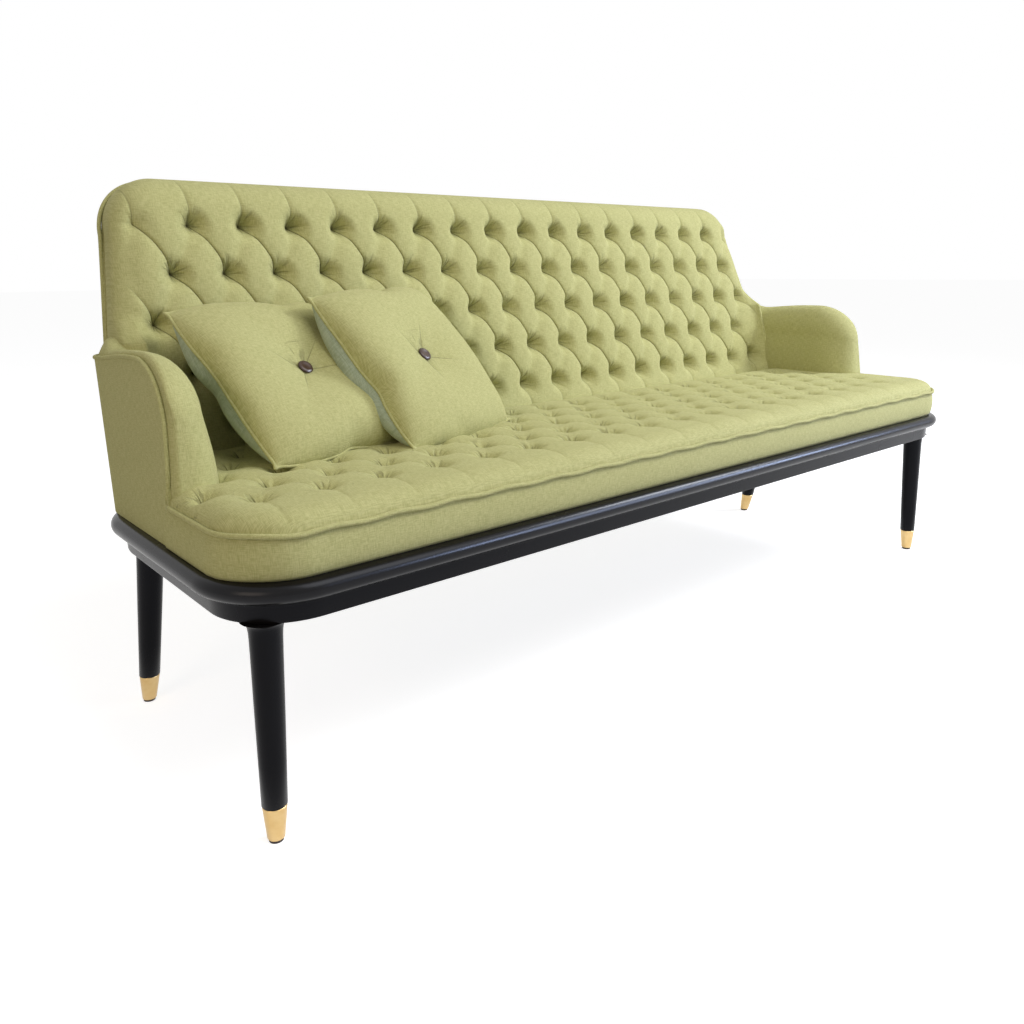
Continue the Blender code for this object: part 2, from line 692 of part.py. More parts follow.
def add_seat_pad(fabric):
    """The tufted seat: full width in front of the arms, and between them behind."""
    notch_x = ARM_INNER_X - FIT
    ear_x = (notch_x + SEAT_HALF) / 2
    inner = tuft_columns()
    columns = [-SEAT_HALF, -ear_x, -notch_x] + inner + [notch_x, ear_x, SEAT_HALF]
    rear_row_y = back_y(SEAT_EDGE_Z + SEAT_REAR_RISE, PAD_FOOT_FRONT + FIT)
    rows = [SEAT_FRONT_Y, SEAT_FRONT_Y + SEAT_SHOULDER]
    first_tuft_row = len(rows)
    row_count = int((rear_row_y - SEAT_REAR_ROOM - FIRST_SEAT_ROW_Y) / SEAT_ROW_STEP) + 1
    for index in range(row_count):
        rows.append(FIRST_SEAT_ROW_Y + SEAT_ROW_STEP * index)
    rows.append(rear_row_y)
    notch_row = first_tuft_row + ARM_FRONT_ROW_COUNT
    last_column = len(columns) - 1
    last_row = len(rows) - 1

    def rise(column, row):
        number = column - 3 - TUFT_REACH
        on_side = column in (0, last_column)
        if row == 0 or on_side:
            return 0.0
        if row == last_row or abs(number) > TUFT_REACH and row >= notch_row:
            return SEAT_REAR_RISE
        if row < first_tuft_row or abs(number) > TUFT_REACH:
            return SEAT_SHOULDER_RISE
        if row != int(row):
            return SEAT_PLEAT_RISE
        return SEAT_PIT_RISE if is_tuft(number, row - first_tuft_row) else SEAT_PUFF_RISE

    def place(column, row):
        x = between(columns, column)
        y = between(rows, row)
        z = SEAT_EDGE_Z + rise(column, row)
        if row == notch_row and abs(column - last_column / 2) > TUFT_REACH:
            y = arm_front_y(z, -FIT)
        x, flipped = round_corner(x, -y, SEAT_HALF, -SEAT_FRONT_Y, SEAT_CORNER_RADIUS)
        return Vector((x, -flipped, z))

    def keep(column, row):
        in_ear = column < 2 or column > last_column - 2 or not 2 < column < last_column - 2
        return not (in_ear and row > notch_row)

    def boxing(height, bulge):
        """Rim place at a height: the rear follows the back's rake, the outside bulges."""
        def place_rim(point):
            if abs(point.y - rear_row_y) < SEAT_ROW_STEP / 2 and point.y > rows[-2]:
                return Vector((point.x, back_y(height, PAD_FOOT_FRONT + FIT), height))
            out_x = math.copysign(bulge, point.x) if abs(point.x) > ear_x else 0.0
            y = point.y - bulge if point.y < rows[1] else point.y
            if abs(point.x) > notch_x - SAME_PLACE and abs(point.y - rows[notch_row]) < SEAT_ROW_STEP / 2:
                y = arm_front_y(height, -FIT)
            return Vector((point.x + out_x, y, height))
        return place_rim

    bm = tufted_sheet(columns, rows, place, keep)
    half_height = RAIL_TOP + BOXING_HEIGHT / 2
    grow_rim(bm, boxing(half_height, BOXING_BULGE))
    grow_rim(bm, lambda point: boxing(RAIL_TOP + FIT, 0.0)(point))
    close_rim(bm)
    return add_object("seat_pad", bm, fabric, TUFT_SHARP_ANGLE)


def add_seat_welt(fabric):
    """The piping along the seat's front edge and round to the arms."""
    offset = WELT_RADIUS + SEAT_WELT_GAP
    radius = SEAT_CORNER_RADIUS + offset
    centre_x = SEAT_HALF - SEAT_CORNER_RADIUS
    centre_y = SEAT_FRONT_Y + SEAT_CORNER_RADIUS
    points = [(centre_x + radius, ARM_FRONT_Y - FIT)]
    for step in range(CORNER_SEGMENTS + 1):
        angle = math.radians(-90 * step / CORNER_SEGMENTS)
        points.append((centre_x + radius * math.cos(angle), centre_y + radius * math.sin(angle)))
    points += [(-x, y) for x, y in points[::-1]]
    return tube("seat_welt", [(x, y, SEAT_EDGE_Z) for x, y in points], WELT_RADIUS, fabric)


# Arms


def arm_crest(distance):
    """Height of the arm's top at a distance behind its front, round at the front."""
    run = min(max(distance, 0.0), ARM_FRONT_ROUND)
    drop = ARM_FRONT_ROUND - math.sqrt(ARM_FRONT_ROUND**2 - (ARM_FRONT_ROUND - run)**2)
    return ARM_HEIGHT - drop


def arm_section(side, y_at, inner, outer_inset, crest):
    """One upright ring across the arm: inner face, rounded crest, outer face."""
    foot = RAIL_TOP + FIT
    width = side_x(crest) - outer_inset - inner
    outer_round = min(ARM_OUTER_ROUND, width / 3)
    inner_round = min(ARM_CREST_ROUND, width - outer_round * 1.5)
    round_shares = ((0.0, 1.0), (0.08, 0.6), (0.3, 0.3), (0.6, 0.08), (1.0, 0.0))
    ring = [(inner, foot)]
    for in_share, drop_share in round_shares:
        ring.append((inner + inner_round * in_share, crest - inner_round * drop_share))
    for in_share, drop_share in round_shares[::-1]:
        height = crest - outer_round * drop_share
        ring.append((side_x(height) - outer_inset - outer_round * in_share, height))
    ring.append((side_x(foot) - outer_inset, foot))
    return [Vector((side * x, y_at(z), z)) for x, z in ring]


def add_arm_pad(name, side, fabric):
    """The arm's upholstery: inner face, crest and front, with a slot below for the frame board."""
    cover = COVER_THICKNESS + FIT

    def front_plane(distance):
        return lambda z: arm_front_y(z, distance)

    def raked_plane(layer):
        return lambda z: back_y(z, layer)

    sections = []
    front_shares = (0.0, 0.12, 0.4, 1.0)
    taper_shares = (1.0, 0.6, 0.2, 0.0)
    for front_share, taper_share in zip(front_shares, taper_shares):
        distance = ARM_FRONT_PLAN * front_share
        inner = ARM_INNER_X + ARM_NOSE_TAPER_INNER * taper_share
        outer = cover + ARM_NOSE_TAPER_OUTER * taper_share
        sections.append(arm_section(side, front_plane(distance), inner, outer, arm_crest(distance)))
    sections.append(arm_section(side, front_plane(ARM_FRONT_ROUND), ARM_INNER_X, cover, ARM_HEIGHT))
    step_layer = PAD_REAR + BACK_PUFF_DEPTH + FIT
    sections.append(arm_section(side, raked_plane(step_layer), ARM_INNER_X, cover, ARM_HEIGHT))
    beside = BACK_HALF_WIDTH + FIT
    foot_layer = PAD_FOOT_FRONT + FIT
    sections.append(arm_section(side, raked_plane(foot_layer), beside, cover, ARM_HEIGHT))
    centre_x = side_x(ARM_HEIGHT) - REAR_CORNER_RADIUS
    radius = REAR_CORNER_RADIUS - cover - REAR_CORNER_GAP
    last_angle = math.acos((beside + ARM_WEDGE_WIDTH - centre_x) / radius)
    for step in range(REAR_CORNER_SEGMENTS + 1):
        angle = last_angle * step / REAR_CORNER_SEGMENTS
        inset = REAR_CORNER_RADIUS - radius * math.cos(angle)
        layer = REAR_CORNER_RADIUS - radius * math.sin(angle)
        sections.append(arm_section(side, raked_plane(layer), beside, inset, ARM_HEIGHT))
    body = loft(sections)
    bmesh.ops.remove_doubles(body, verts=body.verts, dist=SAME_PLACE)
    pad = add_object(name, body, fabric, 60)

    low, high = arm_board_box()
    slot_low = (low[0] - FIT, low[1] - FIT, RAIL_TOP - CUT_OVERRUN)
    slot_high = (high[0] + FIT, high[1] + FIT, high[2] + FIT)
    cut(pad, f"{name}_slot", block(*mirror_box(slot_low, slot_high, side)))
    return pad


def arm_board_box():
    """The arm's frame board on the right: low and high corners."""
    middle = (ARM_INNER_X + side_x(ARM_HEIGHT)) / 2
    low = (middle - ARM_BOARD_THICKNESS / 2, ARM_FRONT_Y + ARM_BOARD_FRONT, RAIL_TOP + FIT)
    rear = back_y(RAIL_TOP, PAD_REAR + BACK_PUFF_DEPTH) - ARM_BOARD_REAR
    high = (middle + ARM_BOARD_THICKNESS / 2, rear, ARM_HEIGHT - ARM_BOARD_DROP)
    return low, high


def mirror_box(low, high, side):
    """The same box on the left for side -1."""
    if side > 0:
        return low, high
    return (-high[0], low[1], low[2]), (-low[0], high[1], high[2])


def panel_path(height, layer_in):
    """Plan line of the arm's outer cover at a height, from its front to the back panel's edge."""
    x = side_x(height) - layer_in
    radius = REAR_CORNER_RADIUS - layer_in
    centre_x = side_x(height) - REAR_CORNER_RADIUS
    centre_y = back_y(height) - REAR_CORNER_RADIUS
    path = [(x, arm_front_y(height, ARM_NOSE_TAPER_OUTER))]
    edge = BACK_HALF_WIDTH + FIT
    last = math.acos((edge - centre_x) / radius)
    for step in range(REAR_CORNER_SEGMENTS + 1):
        angle = last * step / REAR_CORNER_SEGMENTS
        path.append((centre_x + radius * math.cos(angle), centre_y + radius * math.sin(angle)))
    return path


def add_arm_panel(name, side, fabric):
    """The thin outer cover of an arm, round the rear corner to the back's rear board."""
    foot = RAIL_TOP + FIT
    top = ARM_HEIGHT - ARM_PANEL_DROP
    front_top = ARM_HEIGHT - ARM_FRONT_ROUND
    levels = [(foot, 0.0), (SEAT_EDGE_Z, 0.0), (front_top, 0.0)]
    for share in (0.5, 0.8, 1.0):
        rise = ARM_FRONT_ROUND - ARM_PANEL_DROP
        setback = ARM_FRONT_ROUND - math.sqrt(max(0.0, ARM_FRONT_ROUND**2 - (rise * share)**2))
        levels.append((front_top + (top - front_top) * share, setback))
    rings = []
    for height, setback in levels:
        outer = panel_path(height, 0.0)
        inner = panel_path(height, COVER_THICKNESS)
        outer[0] = (outer[0][0], outer[0][1] + setback)
        inner[0] = (inner[0][0], inner[0][1] + setback)
        rings.append([Vector((side * x, y, height)) for x, y in outer + inner[::-1]])
    return add_object(name, loft(rings), fabric, 60)


def add_arm_welt(name, side, fabric):
    """The piping between an arm's outer cover and its crest and front."""
    offset = WELT_RADIUS + FIT
    top = ARM_HEIGHT - ARM_PANEL_DROP
    front_top = ARM_HEIGHT - ARM_FRONT_ROUND
    rise = ARM_FRONT_ROUND - ARM_PANEL_DROP
    x_proud = COVER_THICKNESS - WELT_RADIUS - FIT

    def outer(height):
        return side_x(height) - x_proud

    def front(height):
        return arm_front_y(height, ARM_NOSE_TAPER_OUTER - offset)

    points = []
    for height in (SEAT_EDGE_Z + 2 * offset, (SEAT_EDGE_Z + front_top) / 2, front_top):
        points.append((outer(height), front(height), height))
    for share in (0.3, 0.55, 0.75, 0.9):
        height = front_top + rise * share + offset * share
        setback = ARM_FRONT_ROUND - math.sqrt(ARM_FRONT_ROUND**2 - (rise * share)**2)
        points.append((outer(height), front(height) + setback, height))
    height = top + offset
    rear = panel_path(height, x_proud)
    points.append((outer(height), ARM_FRONT_Y + ARM_FRONT_ROUND, height))
    for x, y in rear[1:-2]:
        points.append((x, y, height))
    path = [Vector((side * x, y, z)) for x, y, z in points]
    return tube(name, path, WELT_RADIUS, fabric)


def add_arms(fabric, raw_wood):
    for word, side in (("left", -1), ("right", 1)):
        add_arm_pad(f"arm_pad_{word}", side, fabric)
        add_object(f"arm_frame_{word}", block(*mirror_box(*arm_board_box(), side)), raw_wood)
        add_arm_panel(f"arm_panel_{word}", side, fabric)
        add_arm_welt(f"arm_welt_{word}", side, fabric)


# Loose cushions


def cushion_half_thickness(across, up):
    """Half thickness of a cushion at a place, with across and up from -1 to 1."""
    crown = ((1 - across**2) * (1 - up**2)) ** CUSHION_CROWN_SHARE
    distance = math.hypot(across, up) * CUSHION_SIDE / 2
    tuft = CUSHION_TUFT_DEPTH * math.exp(-(distance / CUSHION_TUFT_SPREAD) ** 2)
    return CUSHION_THICKNESS / 2 * crown - tuft


def cushion_edge(across, up):
    """Place in the cushion's plane: its sides are drawn in between full corners."""
    half = CUSHION_SIDE / 2
    x = across * (half - CUSHION_DRAW_IN * (1 - up**2))
    z = up * (half - CUSHION_DRAW_IN * (1 - across**2))
    return x, z


def cushion_body():
    """A closed pillow in its own frame: X across, Z up, front towards -Y."""
    bm = bmesh.new()
    for face_side in (-1, 1):
        sheet = bmesh.ops.create_grid(bm, x_segments=CUSHION_CELL_COUNT, y_segments=CUSHION_CELL_COUNT, size=1.0)
        for vertex in sheet["verts"]:
            across, up = vertex.co.x, vertex.co.y
            x, z = cushion_edge(across, up)
            vertex.co = (x, face_side * cushion_half_thickness(across, up), z)
    bmesh.ops.remove_doubles(bm, verts=bm.verts, dist=SAME_PLACE)
    return bm


def cushion_turn(turn, lean):
    """Rotation of a cushion that is turned in plan and leans back."""
    return Matrix.Rotation(math.radians(turn), 4, "Z") @ Matrix.Rotation(math.radians(-lean), 4, "X")


def cushion_seam():
    """Points of the piping round a cushion, in the cushion's own frame."""
    points = []
    offset = CUSHION_WELT_RADIUS + FIT
    for side in range(4):
        for step in range(CUSHION_WELT_POINT_COUNT):
            along = -1 + 2 * step / CUSHION_WELT_POINT_COUNT
            across, up = ((along, -1), (1, along), (-along, 1), (-1, -along))[side]
            x, z = cushion_edge(across, up)
            x += math.copysign(offset, x) if abs(across) == 1 else 0.0
            z += math.copysign(offset, z) if abs(up) == 1 else 0.0
            points.append(Vector((x, 0.0, z)))
    return points


def settle(lowest_x, turn, lean, forward, seat):
    """Place of a cushion that stands on the seat and leans towards the back."""
    rotation = cushion_turn(turn, lean)
    sample = cushion_body()
    points = [rotation @ vertex.co for vertex in sample.verts]
    sample.free()
    lift = SEAT_TOP_Z + CUSHION_WELT_RADIUS + FIT - min(point.z for point in points)
    reach = max(point.y - back_y(point.z + lift, PAD_REAR + BACK_PUFF_DEPTH) for point in points)
    corner = min(points, key=lambda point: point.z).x
    place = Vector((lowest_x - corner, -reach - FIT - forward, lift))

    touching = [(point, FIT) for point in points]
    tip_room = CUSHION_WELT_RADIUS * WELT_TIP_SHARE + FIT
    touching += [(rotation @ point, tip_room) for point in cushion_seam()]
    faces = [tuple(face.vertices) for face in seat.data.polygons]
    tree = BVHTree.FromPolygons([vertex.co for vertex in seat.data.vertices], faces)
    for _ in range(SETTLE_STEP_COUNT):
        place.z -= min(tree.find_nearest(point + place)[3] - room for point, room in touching)
    return Matrix.Translation(place) @ rotation


def add_cushion(word, matrix, fabric, button_material):
    body = add_object(f"cushion_{word}", cushion_body(), fabric, 60)
    body.matrix_world = matrix

    path = cushion_seam()
    welt = tube(f"cushion_welt_{word}", path, CUSHION_WELT_RADIUS, fabric, closed=True)
    welt.matrix_world = matrix

    seat = cushion_half_thickness(0.0, 0.0) + FIT
    cell = 2 / CUSHION_CELL_COUNT
    rise = cushion_half_thickness(cell, 0.0) - cushion_half_thickness(0.0, 0.0)
    rim = BUTTON_RADIUS * rise / cushion_edge(cell, 0.0)[0] * math.sqrt(2) + FIT
    for place_word, face_side in (("front", -1), ("rear", 1)):
        profile = [
            (0.0, 0.0),
            (BUTTON_RADIUS, rim),
            (BUTTON_RADIUS * 0.9, rim + BUTTON_HEIGHT * 0.4),
            (BUTTON_RADIUS * 0.5, rim + BUTTON_HEIGHT * 0.85),
            (0.0, rim + BUTTON_HEIGHT),
        ]
        bm = turned(profile, BUTTON_SIDES, lambda height: Vector((0, 0, 0)))
        bmesh.ops.rotate(bm, matrix=Matrix.Rotation(math.radians(-90 * face_side), 3, "X"), verts=bm.verts)
        bmesh.ops.translate(bm, vec=(0, face_side * seat, 0), verts=bm.verts)
        button = add_object(f"cushion_button_{word}_{place_word}", bm, button_material, 35)
        button.matrix_world = matrix


def add_cushions(fabric, button_material, seat):
    left_x = -ARM_INNER_X + LEFT_CUSHION_ARM_GAP
    right_x = left_x + RIGHT_CUSHION_STEP
    left = settle(left_x, LEFT_CUSHION_TURN, LEFT_CUSHION_LEAN, LEFT_CUSHION_FORWARD, seat)
    right = settle(right_x, RIGHT_CUSHION_TURN, RIGHT_CUSHION_LEAN, RIGHT_CUSHION_FORWARD, seat)
    add_cushion("left", left, fabric, button_material)
    add_cushion("right", right, fabric, button_material)


def build_sofa():
    clear_scene()
    fabric = make_material("olive_linen", (0.39, 0.39, 0.14), 0.85)
    black = make_material("black_lacquer", (0.012, 0.011, 0.011), 0.28)
    brass = make_material("brass", (0.60, 0.42, 0.17), 0.3, 1.0)
    glide_material = make_material("glide_rubber", (0.03, 0.02, 0.015), 0.7)
    steel = make_material("steel", (0.5, 0.5, 0.5), 0.4, 1.0)
    raw_wood = make_material("raw_wood", (0.55, 0.40, 0.24), 0.7)
    cloth = make_material("black_cloth", (0.02, 0.02, 0.02), 0.9)
    button_material = make_material("brown_button", (0.05, 0.03, 0.02), 0.35)
    add_base(black, steel, raw_wood, cloth)
    add_feet(brass, glide_material)
    seat = add_seat_pad(fabric)
    add_seat_welt(fabric)
    add_back(fabric, raw_wood)
    add_back_welt(fabric)
    add_arms(fabric, raw_wood)
    add_cushions(fabric, button_material, seat)


build_sofa()
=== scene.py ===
# %% [markdown]
# # A tufted three-seat sofa
# The real sofa is a wooden frame with deep-buttoned padding under one olive linen
# cover. It stands on a black lacquered base with round legs and brass ferrules, and
# two loose cushions lean in its left end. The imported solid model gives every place
# and size, so the lesson starts by loading it. All lengths are metres, X runs along
# the sofa, the front faces -Y and the floor is at zero.

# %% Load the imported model
import math

import bmesh
import bpy
import numpy as np
from mathutils import Matrix, Vector


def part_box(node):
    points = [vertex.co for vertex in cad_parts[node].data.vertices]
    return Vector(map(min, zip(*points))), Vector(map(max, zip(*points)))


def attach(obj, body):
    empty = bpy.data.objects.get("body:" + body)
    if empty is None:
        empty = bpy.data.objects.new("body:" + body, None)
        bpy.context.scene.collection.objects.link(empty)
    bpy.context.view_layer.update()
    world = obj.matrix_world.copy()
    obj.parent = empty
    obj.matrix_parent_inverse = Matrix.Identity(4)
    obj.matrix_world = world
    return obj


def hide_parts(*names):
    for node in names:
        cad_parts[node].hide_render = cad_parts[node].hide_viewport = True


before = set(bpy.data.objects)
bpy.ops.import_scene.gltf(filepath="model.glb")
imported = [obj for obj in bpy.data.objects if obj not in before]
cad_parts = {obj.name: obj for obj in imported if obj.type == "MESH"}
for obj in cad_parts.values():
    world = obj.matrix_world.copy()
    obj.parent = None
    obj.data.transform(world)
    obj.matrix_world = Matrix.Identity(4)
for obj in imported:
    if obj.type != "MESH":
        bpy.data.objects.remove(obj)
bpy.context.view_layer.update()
scene = bpy.context.scene

# %% [markdown]
# ## The camera
# The photograph shows the sofa from its front left, a little above the arms. The
# camera was worked out from the straight lines of the base and the even spacing of
# the tufts. It is a normal perspective camera without shift or blur. Its matrix is
# built from the view direction, so the small roll of the hand-held shot is kept too.

# %% Camera
CAMERA_PLACE = Vector((-1.3201, -1.2868, 0.7569))
CAMERA_YAW, CAMERA_PITCH, CAMERA_ROLL = (math.radians(degrees) for degrees in (40.348, -16.227, -0.665))
CAMERA_LENS_MM, CAMERA_SENSOR_MM = 29.52, 36


def add_object(name, data):
    """A new object at the origin, in the scene."""
    obj = bpy.data.objects.new(name, data)
    scene.collection.objects.link(obj)
    return obj


def camera_matrix():
    level = math.cos(CAMERA_PITCH)
    forward = Vector((math.sin(CAMERA_YAW) * level, math.cos(CAMERA_YAW) * level, math.sin(CAMERA_PITCH)))
    right = Vector((math.cos(CAMERA_YAW), -math.sin(CAMERA_YAW), 0))
    up = right.cross(forward)
    rolled_right = right * math.cos(CAMERA_ROLL) + up * math.sin(CAMERA_ROLL)
    rolled_up = up * math.cos(CAMERA_ROLL) - right * math.sin(CAMERA_ROLL)
    return Matrix.Translation(CAMERA_PLACE) @ Matrix((rolled_right, rolled_up, -forward)).transposed().to_4x4()


camera = add_object("photo_camera", bpy.data.cameras.new("photo_camera"))
camera.data.sensor_width = CAMERA_SENSOR_MM
camera.data.lens = CAMERA_LENS_MM
camera.matrix_world = camera_matrix()
scene.camera = camera
scene.view_settings.view_transform = "Standard"
print("camera at", [round(v, 3) for v in camera.location])

# %% [markdown]
# ## Building materials
# Every finish below is a Principled shader fed by a few procedural nodes. Colours
# are written as sRGB hex values, the way a colour picker shows them, and one
# function turns them to linear light. A second small function adds any node, sets
# its values and links what feeds it, so that each material reads as a short list.

# %% Colour and node helpers


def linear(hex_colour):
    """An sRGB hex colour as linear red, green, blue and alpha."""
    shares = [int(hex_colour[i:i + 2], 16) / 255 for i in (1, 3, 5)]
    return tuple(s / 12.92 if s <= 0.04045 else ((s + 0.055) / 1.055) ** 2.4 for s in shares) + (1.0,)


def feed(owner, node, **inputs):
    """Set each named input of a node to a value, or link it to an output socket."""
    for name, value in inputs.items():
        key = int(name[1:]) if name[1:].isdigit() else name.replace("_", " ")
        if isinstance(value, bpy.types.NodeSocket):
            owner.node_tree.links.new(value, node.inputs[key])
        else:
            node.inputs[key].default_value = value


def add_node(owner, kind, settings=None, output=0, **inputs):
    """Add a node with its settings and inputs to a material or world, and give one of its outputs."""
    node = owner.node_tree.nodes.new(f"ShaderNode{kind}")
    for name, value in (settings or {}).items():
        setattr(node, name, value)
    feed(owner, node, **inputs)
    return node.outputs[output]


def new_material(name):
    """An empty material with a Principled shader joined to its output."""
    material = bpy.data.materials.new(name)
    material.use_nodes = True
    return material, material.node_tree.nodes["Principled BSDF"]


MULTIPLY, MULTIPLY_ADD, MAXIMUM = ({"operation": name} for name in ("MULTIPLY", "MULTIPLY_ADD", "MAXIMUM"))
COLOURS = {"data_type": "RGBA"}
print("olive in linear light", [round(v, 3) for v in linear("#A8A868")])

# %% [markdown]
# ## Linen
# The cover is a plain-weave linen: matt, a little hairy, with slubs, the thicker
# places in the yarn, that give it short light and dark streaks both ways. Real
# threads lie about 0.6 mm apart, too fine for this picture, so the weave is drawn
# at 1.3 mm and the slubs at 12 mm. The pattern follows the cloth through a map in
# metres that each piece carries, and not the room.

# %% Linen material
THREAD_SPACING = 0.0013
SLUB_LENGTH, SLUB_WIDTH = 0.012, 0.0011
CLOTH_MAP, CREASE_SHADE_LAYER, PIT_LAYER = "cloth", "painted_crease_shade", "pit"
FLAT = {"noise_dimensions": "2D"}
# Where the painted shade line along a crease is full dark, and where it has faded out.
CREASE_CORE, CREASE_FADE = 0.025, 0.110
# How dark the painted shade along the wrinkles round each pit is.
PIT_WRINKLE_SHADE = 0.50
STAR_WAVES = (2.2, 2.2, 0.0)
STAR_SHIFT = (37.0, 71.0, 25.0)


def painted_crease_line(material):
    """How much painted shade a point takes in a crease: a thin even line drawn from the crease attribute.

    The attribute holds the sine and cosine of the place between two creases, and
    the strength of the painted shade there, which follows how sharp the crease is, so the line stays finer than the
    mesh.
    """
    painted_crease_shade = add_node(material, "Attribute", {"attribute_name": CREASE_SHADE_LAYER}, "Vector")
    sine, cosine, sharp = add_node(material, "SeparateXYZ", Vector=painted_crease_shade).node.outputs
    turn = add_node(material, "Math", {"operation": "ARCTAN2"}, _0=sine, _1=cosine)
    away = add_node(material, "Math", {"operation": "ABSOLUTE"}, _0=turn)
    line = add_node(
        material, "MapRange", Value=away, From_Min=CREASE_CORE, From_Max=CREASE_FADE, To_Min=1.0, To_Max=0.0,
    )
    return add_node(material, "Math", MULTIPLY, _0=line, _1=sharp)


def pit_star(material):
    """The fine wrinkles that run out of each pit, and its core, as (painted shade, depth): painted shade darkens the
    wrinkles and the core, and the depth bumps the wrinkles.

    The pit attribute holds the way to the nearest pit in metres and a number of the
    pit's own, which is zero where there is none. Noise sampled round a circle makes
    the wrinkles, so that they have no seam, and they run farther up than down.
    """
    pit = add_node(material, "Attribute", {"attribute_name": PIT_LAYER}, "Vector")
    off_x, off_y, number = add_node(material, "SeparateXYZ", Vector=pit).node.outputs
    off = add_node(material, "CombineXYZ", X=off_x, Y=off_y)
    away = add_node(material, "VectorMath", {"operation": "LENGTH"}, "Value", _0=off)
    way = add_node(material, "VectorMath", {"operation": "NORMALIZE"}, _0=off)
    own = add_node(material, "CombineXYZ", X=number, Y=number, Z=away)
    shift = add_node(material, "VectorMath", MULTIPLY, _0=own, _1=STAR_SHIFT)
    spot = add_node(material, "VectorMath", MULTIPLY_ADD, _0=way, _1=STAR_WAVES, _2=shift)
    noise = add_node(material, "TexNoise", Vector=spot, Scale=1.5, Detail=1.0, Roughness=0.5)
    lines = add_node(material, "MapRange", Value=noise, From_Min=0.46, From_Max=0.36)
    upright = add_node(material, "SeparateXYZ", output="Y", Vector=way)
    stretch = add_node(material, "Math", MULTIPLY_ADD, _0=upright, _1=0.60, _2=1.25)
    reach = add_node(material, "Math", MULTIPLY, _0=away, _1=stretch)
    near = add_node(material, "MapRange", Value=reach, From_Min=0.005, From_Max=0.030, To_Min=1.0, To_Max=0.0)
    # Painted shade: a dark spot at the middle of each pit.
    painted_pit_core = add_node(material, "MapRange", Value=away, From_Min=0.0014, From_Max=0.0042, To_Min=0.70, To_Max=0.0)
    there = add_node(material, "MapRange", Value=number, From_Min=0.25, From_Max=0.45)
    star = add_node(material, "Math", MULTIPLY, _0=lines, _1=near)
    depth = add_node(material, "Math", MULTIPLY, _0=star, _1=there)
    # Painted shade along the wrinkles, joined with the pit's dark spot.
    dark = add_node(material, "Math", MULTIPLY, _0=star, _1=PIT_WRINKLE_SHADE)
    dark = add_node(material, "Math", MAXIMUM, _0=dark, _1=painted_pit_core)
    return add_node(material, "Math", MULTIPLY, _0=dark, _1=there), depth


def make_linen(name, dark, middle, light, painted_crease_shade):
    """Slubbed plain weave in three close colours, and a darker one painted as shade along the creases and round the
    pits.
    """
    material, shader = new_material(name)
    place = add_node(material, "UVMap", {"uv_map": CLOTH_MAP})

    def streaks(length_across, length_up, seed):
        scale = (1 / length_across, 1 / length_up, 1)
        moved = add_node(material, "Mapping", Vector=place, Scale=scale, Location=(seed, seed, 0))
        return add_node(material, "TexNoise", FLAT, Vector=moved, Scale=1.0, Detail=2.0, Roughness=0.6)

    across, upright = streaks(SLUB_LENGTH, SLUB_WIDTH, 3.0), streaks(SLUB_WIDTH, SLUB_LENGTH, 11.0)
    both = add_node(material, "Math", {"operation": "ADD"}, _0=across, _1=upright)
    slubs = add_node(material, "MapRange", Value=both, From_Min=0.80, From_Max=1.20)
    threads = [
        add_node(
            material, "TexWave", {"wave_type": "BANDS", "bands_direction": direction, "wave_profile": "SIN"}, "Fac",
            Vector=place, Scale=math.tau / (20 * THREAD_SPACING), Distortion=0.6, Detail=1.0, Detail_Scale=2.0,
        ) for direction in ("X", "Y")
    ]
    weave = add_node(material, "Math", MULTIPLY, _0=threads[0], _1=threads[1])
    clouds = add_node(material, "TexNoise", FLAT, Vector=place, Scale=7.0, Detail=3.0, Roughness=0.55)
    tone = add_node(material, "Math", MULTIPLY_ADD, _0=weave, _1=0.35, _2=slubs)
    tone = add_node(material, "Math", MULTIPLY_ADD, _0=clouds, _1=0.35, _2=tone)
    ramp = add_node(material, "ValToRGB", Fac=add_node(material, "MapRange", Value=tone, From_Min=0.25, From_Max=1.20))
    stops = ramp.node.color_ramp.elements
    stops[0].color, stops[1].color = linear(dark), linear(light)
    stops.new(0.5).color = linear(middle)

    painted_pit_shade, star_depth = pit_star(material)
    height = add_node(material, "Math", MULTIPLY_ADD, _0=slubs, _1=0.5, _2=weave)
    wrinkled = add_node(material, "Bump", {"invert": True}, Strength=0.8, Distance=0.0022, Height=star_depth)
    relief = add_node(material, "Bump", Strength=0.55, Distance=0.0006, Height=height, Normal=wrinkled)
    # Painted shade: the darker colour is laid over the weave along the crease lines and in and round the pits.
    painted_shade_mask = add_node(material, "Math", MAXIMUM, _0=painted_crease_line(material), _1=painted_pit_shade)
    colour = add_node(material, "Mix", COLOURS, 2, Factor=painted_shade_mask, _6=ramp, _7=linear(painted_crease_shade))
    feed(
        material, shader, Base_Color=colour, Roughness=0.88, Normal=relief,
        Sheen_Weight=0.22, Sheen_Roughness=0.45, Sheen_Tint=linear("#E6E4B4"), Specular_IOR_Level=0.25,
    )
    return material


# The last colour of each linen is the painted shade for its creases and pits.
linen = make_linen("olive_linen_plain_weave", "#A4A269", "#AFAD74", "#B9B77F", "#4E4B26")
linen_pale = make_linen("sage_linen_cushion_back", "#96A28A", "#A0AB94", "#AAB49E", "#5A6450")
print("linen materials", linen.name, linen_pale.name)

# %% [markdown]
# ## Making a piece
# Each piece is shaped in a bmesh and then made an object at the origin, with its
# place in its mesh, so that patterns stay with the mesh wherever it goes. The same
# function lays the cloth map, gives the piece its finish and ties it to the body of
# the imported model that carries it.

# %% Piece helper


def flat_map(point, normal):
    """Cloth map for a piece without its own: the plane that the face is nearest to."""
    if abs(normal.z) >= max(abs(normal.x), abs(normal.y)):
        return point.x, point.y
    if abs(normal.x) > abs(normal.y):
        return point.y, point.z
    return point.x, point.z


def new_mesh(bm, name):
    """The bmesh as a mesh."""
    mesh = bpy.data.meshes.new(name)
    bm.to_mesh(mesh)
    bm.free()
    return mesh


